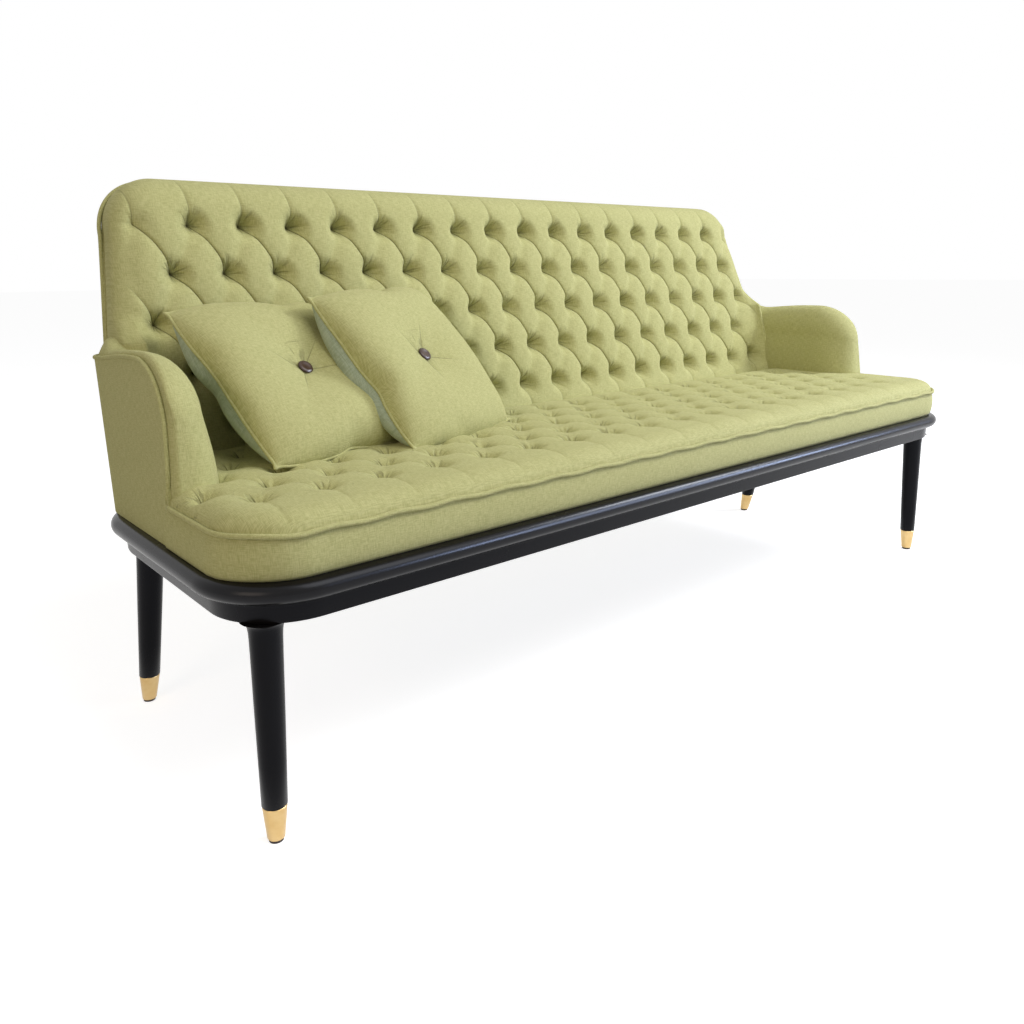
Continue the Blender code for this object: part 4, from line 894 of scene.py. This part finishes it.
def build_seat():
    notch_x, notch_y = ARM_INNER_X + 0.012, ARM_FRONT_Y + 0.016
    rear_y = back_y(SEAT_EDGE_Z + 0.014, PAD_REAR + 0.050)
    middle = np.linspace(-notch_x, notch_x, int(2 * notch_x / GRID_SPACING) + 1)
    ear = finer_at_ends(notch_x, SEAT_HALF, GRID_SPACING, EDGE_SPACING, 0.016)[1:]
    front_rows = finer_at_ends(SEAT_FRONT_Y, notch_y, GRID_SPACING, EDGE_SPACING, 0.016)
    rear_rows = np.linspace(notch_y, rear_y, int((rear_y - notch_y) / GRID_SPACING) + 1)[1:]
    bm, x, y = grid_sheet(np.concatenate([-ear[::-1], middle, ear]), np.concatenate([front_rows, rear_rows]))
    over = np.clip(np.abs(x) - (SEAT_HALF - SEAT_CORNER), 0, SEAT_CORNER)
    front = SEAT_FRONT_Y + SEAT_CORNER - np.sqrt(SEAT_CORNER ** 2 - over ** 2)
    share = np.clip((y - SEAT_FRONT_Y) / (notch_y - SEAT_FRONT_Y), 0, 1)
    y = np.where(y < notch_y, front + share * (notch_y - front), y)
    inside = inside_corner(np.abs(x) - (SEAT_HALF - SEAT_CORNER), SEAT_FRONT_Y + SEAT_CORNER - y, SEAT_CORNER)

    free = (smooth_step(SEAT_FIRST_ROW_Y - 0.02, SEAT_FIRST_ROW_Y, y) * smooth_step(rear_y - 0.02, rear_y - 0.04, y)
            * smooth_step(notch_x - 0.01, notch_x - 0.03, np.abs(x)))
    down = SEAT_ROWS - 1 - (y - SEAT_FIRST_ROW_Y) / SEAT_ROW_STEP
    across, down = gather(x / HALF_PITCH + 1, down, SEAT_ROW_STEP, SEAT_SHAPE, free)
    x, y = (across - 1) * HALF_PITCH, SEAT_FIRST_ROW_Y + (SEAT_ROWS - 1 - down) * SEAT_ROW_STEP
    full, hang, painted_crease_shade, pit = tuft_fullness(across, down, SEAT_ROWS, SEAT_REACH, SEAT_ROW_STEP, SEAT_SHAPE)
    height = SEAT_PIT_RISE + (SEAT_PUFF_RISE - SEAT_PIT_RISE) * full
    height = height * quarter_round(inside, SEAT_ROLL) * (1 - 0.45 * smooth_step(rear_y - 0.05, rear_y, y))
    move_all(bm, np.stack([x, y - hang, SEAT_EDGE_Z + height], axis=1))
    keep_folds(bm, painted_crease_shade, pit)
    middles = [(face, face.calc_center_median()) for face in bm.faces]
    under_arms = [face for face, place in middles if abs(place.x) > notch_x and place.y > notch_y]
    bmesh.ops.delete(bm, geom=under_arms, context="FACES")
    bm.verts.index_update()

    for height_at, bulge in BOXING:
        def lower(point):
            to_side = smooth_step(SEAT_FRONT_Y, SEAT_FRONT_Y + SEAT_CORNER, point.y)
            out_x = math.copysign(1, point.x) * (bulge + 0.0012 * to_side) if abs(point.x) > notch_x + 0.002 else 0.0
            return Vector((point.x + out_x, point.y - bulge * (1 - to_side), height_at))
        grow_rim(bm, lower)
    return shut(bm)


def seat_cloth(point, normal):
    if point.z > SEAT_EDGE_Z - 0.001:
        return point.x, point.y
    return (point.y if abs(normal.x) > abs(normal.y) else point.x), point.z


make_piece(build_seat(), "tufted_seat", ["seat_pad"], cloth=seat_cloth)

# %% [markdown]
# ## Piping
# Piping is a cord wrapped in a strip of the cover and sewn into a seam. A curve
# through the seam's points, given a round section and made a mesh, is the nearest
# thing to it. It rides half sunk between the two covers that it joins.

# %% Piping helper and the seat's piping
PIPING_RADIUS = 0.0036
SCALLOP = 0.0030


def piping(name, points, solid, body="sofa", radius=PIPING_RADIUS, closed=False):
    curve = bpy.data.curves.new(name, "CURVE")
    curve.dimensions = "3D"
    curve.bevel_depth = radius
    curve.bevel_resolution = 3
    curve.use_fill_caps = True
    spline = curve.splines.new("POLY")
    spline.points.add(len(points) - 1)
    for item, point in zip(spline.points, points):
        item.co = (*point, 1)
    spline.use_cyclic_u = closed
    holder = add_object(name, curve)
    mesh = bpy.data.meshes.new_from_object(holder)
    bpy.data.objects.remove(holder)
    bm = bmesh.new()
    bm.from_mesh(mesh)
    bpy.data.meshes.remove(mesh)
    make_piece(merged(bm, 0.00002), name, [solid], body=body)


def rounded(points, turns, spacing=0.006):
    """Points evenly spaced along a path whose corners are smoothed off."""
    path = np.array([tuple(p) for p in points], float)
    for _ in range(turns):
        cut = [path[0]]
        for first, second in zip(path, path[1:]):
            cut += [first * 0.75 + second * 0.25, first * 0.25 + second * 0.75]
        path = np.array(cut + [path[-1]])
    steps = np.concatenate([[0], np.cumsum(np.linalg.norm(np.diff(path, axis=0), axis=1))])
    wanted = np.linspace(0, steps[-1], max(2, int(steps[-1] / spacing)))
    return [Vector(tuple(np.interp(w, steps, path[:, k]) for k in range(3))) for w in wanted]


def seat_edge_points():
    radius = SEAT_CORNER + PIPING_RADIUS + 0.0006
    centre_x, centre_y = SEAT_HALF - SEAT_CORNER, SEAT_FRONT_Y + SEAT_CORNER
    end = [(centre_x + radius, ARM_FRONT_Y + 0.006)]
    for step in range(19):
        angle = math.radians(-90 * step / 18)
        end.append((centre_x + radius * math.cos(angle), centre_y + radius * math.sin(angle)))
    front = [(centre_x * (1 - 2 * step / 120), centre_y - radius) for step in range(1, 120)]
    points = end + front + [(-x, y) for x, y in end[::-1]]
    return [(x, y, SEAT_EDGE_Z - SCALLOP * 0.5 * math.cos(math.pi * x / HALF_PITCH)) for x, y in points]


piping("seat_piping", rounded(seat_edge_points(), 1), "seat_welt")

# %% [markdown]
# ## The back's rear cover and piping
# Behind, a flat cover is drawn over the frame and its piping follows the top and
# both sides down to the arms. The panel is a thin closed sheet with a little
# padding, so it bows by a millimetre or two instead of being a board.

# %% Rear cover and back piping
COVER_TOP = 0.907


def back_outline(edge, steps=18):
    """Right half of the back's outline as (x, height), from the arm's height up to the middle."""
    centre_z = COVER_TOP - edge - BACK_CORNER
    centre_x = float(back_half(centre_z)) - edge - BACK_CORNER
    angles = [math.radians(90 * step / steps) for step in range(steps + 1)]
    return [(BACK_HALF - edge, ARM_HEIGHT)] + [
        (centre_x + BACK_CORNER * math.cos(angle), centre_z + BACK_CORNER * math.sin(angle)) for angle in angles
    ]


def build_rear_cover():
    bm, s, t = grid_sheet(finer_at_ends(-1, 1, 0.03, 0.01, 0.04), finer_at_ends(0, 1, 0.04, 0.012, 0.05))
    x, z = back_face(s, t, COVER_TOP)
    bow = 0.0016 * (1 - s ** 2) * (1 - (2 * t - 1) ** 2) - 0.0012
    move_all(bm, np.stack([x, back_y(z, -bow), z], axis=1))
    for widen, layer in ((1.0005, 0.0032), (0.9985, 0.0052)):
        grow_rim(bm, lambda p: Vector((p.x * widen, back_y(p.z, layer), p.z)))
    return shut(bm)


make_piece(build_rear_cover(), "rear_cover", ["back_panel"])
edge_points = [(x, back_y(z, 0.0042), z) for x, z in back_outline(-PIPING_RADIUS * 0.7)]
foot_x, foot_y, foot_z = edge_points[0]
edge_points[0] = (foot_x, foot_y, foot_z - 0.026)
piping("back_piping", rounded(edge_points + [(-x, y, z) for x, y, z in edge_points[::-1]], 2), "back_welt")

# %% [markdown]
# ## The arms
# Each arm is a board padded on its inner face, crest and front, with a flat outer
# cover. Seen from above, its front rounds in from the outer piping, and its crest
# is a soft roll that sweeps up at the rear into the side of the back. Rings of
# points across the arm, carried from front to rear, describe all of that.

# %% Arm padding
SIDE_FOOT = 0.9602
SIDE_LEAN = 0.098
SIDES = (("left", -1), ("right", 1))
ARM_FRONT_LEAN = 0.130
ARM_FRONT_SWELL = 0.015
ARM_NOSE = 0.106
ARM_NOSE_DROP = 0.088
ARM_PIPING_BACK = 0.016
ARM_REAR_ROUND = 0.060
ARM_OUTER_INSET = 0.0045
NOSE_SHARES = (0.0, 0.008, 0.03, 0.07, 0.12, 0.14, 0.20, 0.30, 0.42, 0.56, 0.72, 0.88, 1.0)
SWEEP_START = 0.128
REAR_SWEEP = (
    (SWEEP_START, 0.645), (0.112, 0.6453), (0.100, 0.6470), (0.089, 0.6505), (0.078, 0.6545),
    (0.066, 0.6580), (0.050, 0.6600), (0.034, 0.6600), (0.020, 0.6600), (0.009, 0.6600),
)


def side_x(height):
    """Outer face of the arm side, which leans in a little as it rises."""
    return SIDE_FOOT - SIDE_LEAN * (height - RAIL_TOP)


def arm_front(height):
    """The foremost line of the arm's swelling front."""
    return ARM_FRONT_Y - ARM_FRONT_SWELL + ARM_FRONT_LEAN * (height - RAIL_TOP)


def quarter(share):
    """How far a quarter round still is from its full width, from 1 at its start to 0."""
    return 1 - math.sqrt(1 - (1 - min(1.0, share)) ** 2)


def rear_drop(y):
    """How far the arm's outer edge has come down towards its rear corner."""
    return 0.014 * float(smooth_step(0.03, 0.24, y))


def arm_stations():
    """(place of each ring by height, inner x, outer inset, crest height) from front to rear."""
    stations = []
    for share in NOSE_SHARES:
        distance = ARM_NOSE * share
        inner = ARM_INNER_X + 0.050 * quarter(share / 0.85)
        outer = ARM_OUTER_INSET + 0.011 * quarter(distance / ARM_PIPING_BACK)
        crest = ARM_HEIGHT - ARM_NOSE_DROP * quarter(share)
        stations.append((lambda z, d=distance: arm_front(z) + d, inner, outer, crest))
    for share in (0.2, 0.4, 0.6, 0.8):
        def across(z, s=share):
            return (arm_front(z) + ARM_NOSE) * (1 - s) + back_y(z, SWEEP_START) * s
        stations.append((across, ARM_INNER_X, ARM_OUTER_INSET, ARM_HEIGHT))
    for layer, crest in REAR_SWEEP:
        rest = max(0.0, ARM_REAR_ROUND - layer)
        inset = ARM_OUTER_INSET + ARM_REAR_ROUND - math.sqrt(ARM_REAR_ROUND ** 2 - rest ** 2)
        stations.append((lambda z, a=layer: back_y(z, a), ARM_INNER_X, inset, crest))
    return stations


def arm_ring(side, y_at, inner, outer_inset, crest):
    """One upright ring across the arm: inner face, broad rounded crest, outer face."""
    foot = RAIL_TOP + 0.0004
    sweep = min(1.0, max(0.0, (crest - ARM_HEIGHT) / 0.038))
    width = side_x(crest) - outer_inset - inner
    outer_wide = min(0.008 + 0.024 * sweep, width / 3 + 0.3 * width * sweep)
    outer_tall = 0.008 + 1.1 * max(0.0, crest - ARM_HEIGHT)
    inner_round = max(0.004, min(0.054, width - outer_wide)) * (1 - 0.8 * sweep)
    inner_tall = inner_round * (1.4 - 0.4 * sweep)
    points = []
    for share in (0.0, 0.15, 0.3, 0.45, 0.6, 0.75, 0.88, 0.97):
        height = foot + (crest - inner_tall - foot) * share
        swell = 0.010 * math.sin(math.pi * min(1.0, share * 1.05))
        points.append((inner - swell * min(1.0, width / 0.06), height))
    for step in range(9):
        angle = math.radians(90 * step / 8)
        points.append((inner + inner_round * (1 - math.cos(angle)), crest - inner_tall * (1 - math.sin(angle))))
    for step in range(6):
        angle = math.radians(90 * step / 5)
        aside = (1 - math.sin(angle)) * (1 - sweep) + math.cos(angle) * sweep
        fall = (1 - math.cos(angle)) * (1 - sweep) + math.sin(angle) * sweep
        height = crest - outer_tall * fall
        points.append((side_x(height) - outer_inset - outer_wide * aside, height))
    for share in (0.75, 0.5, 0.25, 0.0):
        height = foot + (crest - outer_tall - foot) * share
        points.append((side_x(height) - outer_inset, height))
    ring = []
    for x, z in points:
        share = min(1.0, max(0.0, (x - inner) / width)) * (z - foot) / (crest - foot)
        ring.append(Vector((side * x, y_at(z), z - rear_drop(y_at(z)) * share)))
    return ring


def lofted(rings):
    """A closed body through a row of rings of points."""
    bm = bmesh.new()
    loops = []
    for ring in rings:
        verts = [bm.verts.new(point) for point in ring]
        loops.append([bm.edges.new(pair) for pair in zip(verts, verts[1:] + verts[:1])])
    for first, second in zip(loops, loops[1:]):
        bmesh.ops.bridge_loops(bm, edges=first + second)
    return shut(bm, loops[0], loops[-1])


for word, side in SIDES:
    bm = lofted([arm_ring(side, *station) for station in arm_stations()])
    make_piece(bm, f"arm_padding_{word}", [f"arm_pad_{word}"], finer=2)

# %% [markdown]
# ## The arms' outer covers
# The outer cover is a flat panel from the piping down to the base, round the rear
# corner and up to the back's rear cover. It is a thin closed shell between an outer
# and an inner line in plan.

# %% Arm outer covers and piping
PANEL_TOP = 0.633
PANEL_ARCH = PANEL_TOP - ARM_NOSE_DROP
PIPING_TOP = PANEL_TOP + 0.003
PANEL_THICKNESS = 0.005
ARCH_ANGLES = range(0, 91, 6)


def piping_place(height):
    """Depth place of the arm's piping at a height: nearly upright, then round over the top."""
    up = min(1.0, max(0.0, (height - PANEL_ARCH) / (PIPING_TOP - PANEL_ARCH)))
    return arm_front(height) + ARM_PIPING_BACK + 0.105 * (1 - math.sqrt(1 - up ** 2))


def arch_heights(top, angles):
    """Heights that come closer together towards the top of the arm's arch."""
    return [PANEL_ARCH + (top - PANEL_ARCH) * math.sin(math.radians(degrees)) for degrees in angles]


def panel_line(height, layer_in):
    """Plan line of the outer cover at a height, from its front round the rear corner."""
    x = side_x(height) - layer_in
    radius = ARM_REAR_ROUND - layer_in
    centre_x, centre_y = side_x(height) - ARM_REAR_ROUND, back_y(height) - ARM_REAR_ROUND
    front = piping_place(height) + 0.001
    points = [(x, front + (centre_y - front) * share) for share in np.linspace(0, 1, 12)[:-1]]
    last = math.acos(min(1.0, (BACK_HALF + 0.0003 - centre_x) / radius))
    for step in range(13):
        angle = last * step / 12
        points.append((centre_x + radius * math.cos(angle), centre_y + radius * math.sin(angle)))
    return points


def panel_rings(side):
    for height in list(np.linspace(RAIL_TOP + 0.0004, PANEL_ARCH, 8)) + arch_heights(PANEL_TOP, ARCH_ANGLES[1:]):
        share = (height - RAIL_TOP) / (PANEL_TOP - RAIL_TOP)
        line = panel_line(height, 0.0) + panel_line(height, PANEL_THICKNESS)[::-1]
        yield [(side * x, y, height - share * rear_drop(y)) for x, y in line]


def arm_piping_points(side):
    points = []
    for height in [SEAT_EDGE_Z + 0.003, 0.455, 0.48, 0.51, 0.53] + arch_heights(PIPING_TOP, ARCH_ANGLES):
        back_in = 0.012 * max(0.0, 1 - (height - SEAT_EDGE_Z) / 0.03)
        points.append((side_x(height) - 0.0015, piping_place(height) + back_in, height))
    points += [(x, y, PIPING_TOP) for x, y in panel_line(PIPING_TOP, 0.001) if y > points[-1][1] + 0.02]
    return [(side * x, y, z - rear_drop(y)) for x, y, z in points]


for word, side in SIDES:
    make_piece(lofted(panel_rings(side)), f"arm_side_{word}", [f"arm_panel_{word}"], smooth=50)
    piping(f"arm_piping_{word}", rounded(arm_piping_points(side), 2), f"arm_welt_{word}")

# %% [markdown]
# ## The loose cushions
# A square cushion is two squares of cloth sewn round the edge and stuffed, so its
# sides pull in between full corners and the cloth puckers along its seams. A cloth
# simulation makes just that: the two sheets are blown up from inside while the
# middle is held where the button pulls it in. The result is scaled to the solid
# model's size and laid in its place.

# %% Cushion simulation
CUSHION_SIDE = 0.325
CUSHION_CELLS = 48
CUSHION_PLACES = {"left": (14.5, 46.5), "right": (20.0, 41.0)}
CLOTH_FRAMES = 24
SMOOTHING = 30
START_CROWN, START_DIMPLE, START_RIPPLE = 0.034, 0.03, 0.0010
HELD_MIDDLE, HELD_CORNER = 0.009, 0.006


def cushion_start(seed):
    """Two flat-rimmed sheets joined round their edge: X across, Z up, the olive front towards -Y."""
    bm = bmesh.new()
    half = CUSHION_SIDE / 2
    for sheet_number, face_side in enumerate((-1, 1)):
        sheet = bmesh.ops.create_grid(bm, x_segments=CUSHION_CELLS, y_segments=CUSHION_CELLS, size=1.0)
        for vert in sheet["verts"]:
            for face in vert.link_faces:
                face.material_index = sheet_number
            across, up = vert.co.x, vert.co.y
            crown = (1 - across ** 2) * (1 - up ** 2)
            dimple = 1 - 0.35 * math.exp(-(math.hypot(across, up) * half / START_DIMPLE) ** 2)
            ripple = START_RIPPLE * math.sin(across * 10 + seed) * math.sin(up * 8.6 + 2 * seed)
            vert.co = (across * half, face_side * START_CROWN * crown ** 0.6 * dimple + ripple, up * half)
    merged(bm, 0.0024)
    if bm.calc_volume(signed=True) < 0:
        bmesh.ops.reverse_faces(bm, faces=bm.faces)
    return bm


def blown_up(seed):
    """The stuffed cushion in its own frame, blown up by a cloth simulation, smoothed and made finer."""
    mesh = new_mesh(cushion_start(seed), "cushion_start")
    obj = add_object("cushion_start", mesh)
    inner = CUSHION_SIDE / 2 - HELD_CORNER
    groups = {"held": [], "soft": []}
    for vert in mesh.vertices:
        x, z = vert.co.x, vert.co.z
        held = math.hypot(x, z) < HELD_MIDDLE or min(abs(x), abs(z)) > inner
        groups["held" if held else "soft"].append(vert.index)
    for name, indices in groups.items():
        obj.vertex_groups.new(name=name).add(indices, 1.0, "REPLACE")
    cloth = obj.modifiers.new("cloth", "CLOTH").settings
    cloth.quality = 6
    cloth.mass = 0.25
    cloth.tension_stiffness = cloth.compression_stiffness = 30
    cloth.shear_stiffness = 10
    cloth.bending_stiffness = 0.2
    cloth.use_pressure = True
    cloth.uniform_pressure_force = 8.0
    cloth.vertex_group_mass = "held"
    cloth.shrink_min = -0.04
    cloth.effector_weights.gravity = 0
    for number in range(1, CLOTH_FRAMES + 1):
        scene.frame_set(number)
    relaxed = obj.modifiers.new("relaxed", "SMOOTH")
    relaxed.factor, relaxed.iterations, relaxed.vertex_group = 0.5, SMOOTHING, "soft"
    obj.modifiers.new("finer", "SUBSURF").levels = 1
    result = bpy.data.meshes.new_from_object(obj.evaluated_get(bpy.context.evaluated_depsgraph_get()))
    bpy.data.objects.remove(obj)
    scene.frame_set(1)
    bm = bmesh.new()
    bm.from_mesh(result)
    bpy.data.meshes.remove(result)
    return bm


def cushion_place(word):
    """Matrix of a cushion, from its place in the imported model."""
    low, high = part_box(f"cushion_{word}")
    turn, lean = CUSHION_PLACES[word]
    return (Matrix.Translation((Vector(low) + Vector(high)) / 2) @ Matrix.Rotation(math.radians(turn), 4, "Z")
            @ Matrix.Rotation(math.radians(-lean), 4, "X"))


print("each cushion starts", CUSHION_SIDE, "m square")

# %% [markdown]
# The simulated cushion is brought to the solid model's size. Stuffing keeps its left
# and right sides fuller than the empty cloth would have them, while the upper and
# lower ones are drawn in. The back sheet bellies out past the seam, and the cloth is
# drawn into the button in a cone with a few folds running from it, with painted
# shade along the folds and round the button.

# %% Cushions, their piping and buttons
FRONT, REAR = -1, 1
BUTTON_DEPTH = {FRONT: 0.026, REAR: 0.028}
BUTTON_FOLDS = {"left": (0.75, -0.25, 2.7, -2.2), "right": (1.15, -0.45, 2.4, -1.75)}
SHEET_DEPTH = {FRONT: 0.050, REAR: 0.055}
SIDE_PULL, TOP_PULL = ((0.014, -0.026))
REAR_BELLY = 0.027
CONE_WIDE = 0.019
BUTTON_PROFILE = [
    (0.0, 0.0), (0.0125, 0.0008), (0.0133, 0.0028), (0.0120, 0.0046),
    (0.0085, 0.0056), (0.0070, 0.0050), (0.0, 0.0047),
]


def build_cushion(word, seed):
    bm = blown_up(seed)
    for name in (CREASE_SHADE_LAYER, PIT_LAYER):
        bm.verts.layers.float_vector.new(name)
    painted_crease_shade_layer, pit_layer = (bm.verts.layers.float_vector[name] for name in (CREASE_SHADE_LAYER, PIT_LAYER))
    rim = {v for e in bm.edges if len({f.material_index for f in e.link_faces}) > 1 for v in e.verts}
    rear = {v for f in bm.faces if f.material_index == 1 for v in f.verts} - rim
    points = np.array([vert.co[:] for vert in bm.verts])
    low, high = points.min(0), points.max(0)
    middle, size = (low + high) / 2, high - low
    half = CUSHION_SIDE / 2
    depth = {FRONT: SHEET_DEPTH[FRONT] / (middle[1] - low[1]), REAR: SHEET_DEPTH[REAR] / (high[1] - middle[1])}
    for vert in bm.verts:
        x = (vert.co.x - middle[0]) * CUSHION_SIDE / size[0]
        z = (vert.co.z - middle[2]) * CUSHION_SIDE / size[2]
        across, up = min(1.0, abs(x) / half), min(1.0, abs(z) / half)
        x += math.copysign(SIDE_PULL * across ** 2 * (1 - up ** 2), x)
        z += math.copysign(TOP_PULL * up ** 2 * (1 - across ** 2), z)
        face_side = REAR if vert in rear else FRONT
        y = (vert.co.y - middle[1]) * depth[REAR if vert.co.y > middle[1] else FRONT]
        if vert in rear:
            x += math.copysign(REAR_BELLY * across ** 3 * (1 - up ** 2) * min(1.0, max(0.0, y) / 0.03), x)
        away, angle = math.hypot(x, z), math.atan2(z, x)
        cone = math.exp(-((away / CONE_WIDE) ** 1.3))
        y = y * (1 - cone) + face_side * BUTTON_DEPTH[face_side] * cone
        aside = min((math.remainder(angle - turn, math.tau) * away for turn in BUTTON_FOLDS[word]), key=abs)
        reach = math.exp(-(((away - 0.028) / 0.034) ** 2))
        if vert not in rim:
            y -= face_side * 0.0030 * math.exp(-((aside / 0.005) ** 2)) * reach
        turn = max(-3.1, min(3.1, aside / 0.013))
        # Painted shade along the folds that run out of the button.
        vert[painted_crease_shade_layer] = (math.sin(turn), math.cos(turn), 0.5 * reach)
        # Painted shade and bumped wrinkles round the button, as round a tufting pit.
        vert[pit_layer] = (x * 0.8, z * -0.8, 0.6 if away < 0.05 else 0.0)
        vert.co = (x, y, z)
    seam = sorted((v.co.copy() for v in rim), key=lambda p: math.atan2(p.z, p.x))
    print(word, "cushion before scaling", np.round(size, 3), "seam points", len(seam))
    bmesh.ops.transform(bm, matrix=cushion_place(word), verts=bm.verts)
    return bm, [cushion_place(word) @ point for point in seam]


def build_button(word, face_side):
    """A turned button sitting in the dimple of one face."""
    bm = lathe(BUTTON_PROFILE, 32)
    bmesh.ops.rotate(bm, matrix=Matrix.Rotation(math.radians(-90 * face_side), 3, "X"), verts=bm.verts)
    bmesh.ops.translate(bm, vec=(0, face_side * (BUTTON_DEPTH[face_side] - 0.0005), 0), verts=bm.verts)
    bmesh.ops.transform(bm, matrix=cushion_place(word), verts=bm.verts)
    bmesh.ops.recalc_face_normals(bm, faces=bm.faces)
    return bm


for word, seed in (("left", 1.0), ("right", 4.0)):
    body = f"cushion_{word}"
    bm, seam = build_cushion(word, seed)
    from_room = cushion_place(word).inverted()
    make_piece(bm, f"loose_cushion_{word}", [body], [linen, linen_pale], body=body,
               cloth=lambda point, normal: (from_room @ point).xz, finer=1)
    piping(f"cushion_piping_{word}", seam, f"cushion_welt_{word}", body=body, radius=0.0027, closed=True)
    for place_word, face_side in (("front", FRONT), ("rear", REAR)):
        make_piece(build_button(word, face_side), f"horn_button_{word}_{place_word}",
                   [f"cushion_button_{word}_{place_word}"], [horn], body=body, smooth=40)

# %% [markdown]
# ## Floor and light
# The photograph is a cut-out on white with a soft shadow under the sofa. The floor
# is white to the camera but still dims where the sofa keeps the light off it. Large
# soft lamps stand high in front and to the right, so the right end is brightest and
# the outer face of the left arm is in shade. A wide cool one is seen only as a
# gleam along the lacquered moulding.

# %% Floor, world and lamps
ROOM_LIGHT = 0.325
FLOOR_GLOW = 0.775
FLOOR_HALF = 40.0
LAMPS = (
    ("key_lamp", (2.5, -1.5, 2.5), (0.2, 0, 0.5), (0.9, 0.9), 79, "#F4F8FF"),
    ("top_lamp", (0.2, -1.7, 2.9), (0, 0, 0.5), (2.0, 2.0), 46, "#FFFFFF"),
    ("front_lamp", (2.2, -2.5, 1.35), (-0.2, 0, 0.4), (1.4, 1.4), 31, "#E2EAFF"),
    ("left_lamp", (-3.2, -1.2, 1.5), (-0.9, 0, 0.5), (1.4, 1.4), 17, "#FFE6CC"),
    ("gleam_lamp", (2.2, -2.5, 1.35), (-0.2, 0, 0.4), (2.2, 0.8), 240, "#C8DAFF"),
)


def seen_directly(owner):
    """1 for rays that see the background: those from the camera, and those by way of metal or glass."""
    path = add_node(owner, "LightPath").node.outputs
    mirrored = add_node(owner, "Math", MAXIMUM, _0=path["Is Camera Ray"], _1=path["Is Glossy Ray"])
    return add_node(owner, "Math", MAXIMUM, _0=mirrored, _1=path["Is Transmission Ray"])


def make_floor():
    material, shader = new_material("white_studio_floor")
    strength = add_node(material, "Math", MULTIPLY, _0=seen_directly(material), _1=FLOOR_GLOW)
    glow = add_node(material, "Emission", Color=(1, 1, 1, 1), Strength=strength)
    feed(material, shader, Base_Color=linear("#CDCDCD"), Roughness=1.0, Specular_IOR_Level=0.0)
    both = add_node(material, "AddShader", _0=shader.outputs[0], _1=glow)
    feed(material, material.node_tree.nodes["Material Output"], Surface=both)
    return material


def add_lamp(name, place, target, size, power, colour):
    """A soft box of the given width and height, aimed at a point."""
    lamp = bpy.data.lights.new(name, "AREA")
    lamp.shape = "RECTANGLE"
    lamp.size, lamp.size_y = size
    lamp.energy = power
    lamp.color = linear(colour)[:3]
    holder = add_object(name, lamp)
    holder.location = place
    holder.rotation_euler = (Vector(target) - Vector(place)).to_track_quat("-Z", "Y").to_euler()
    holder.visible_diffuse = name != "gleam_lamp"


bm = bmesh.new()
bmesh.ops.create_grid(bm, x_segments=1, y_segments=1, size=FLOOR_HALF)
floor = add_object("studio_floor", new_mesh(bm, "studio_floor"))
floor.data.materials.append(make_floor())

world = scene.world = bpy.data.worlds.new("studio")
world.use_nodes = True
level = add_node(world, "MapRange", Value=seen_directly(world), To_Min=ROOM_LIGHT)
feed(world, world.node_tree.nodes["Background"], Color=(1, 1, 1, 1), Strength=level)
for lamp in LAMPS:
    add_lamp(*lamp)
print("lamps ready")
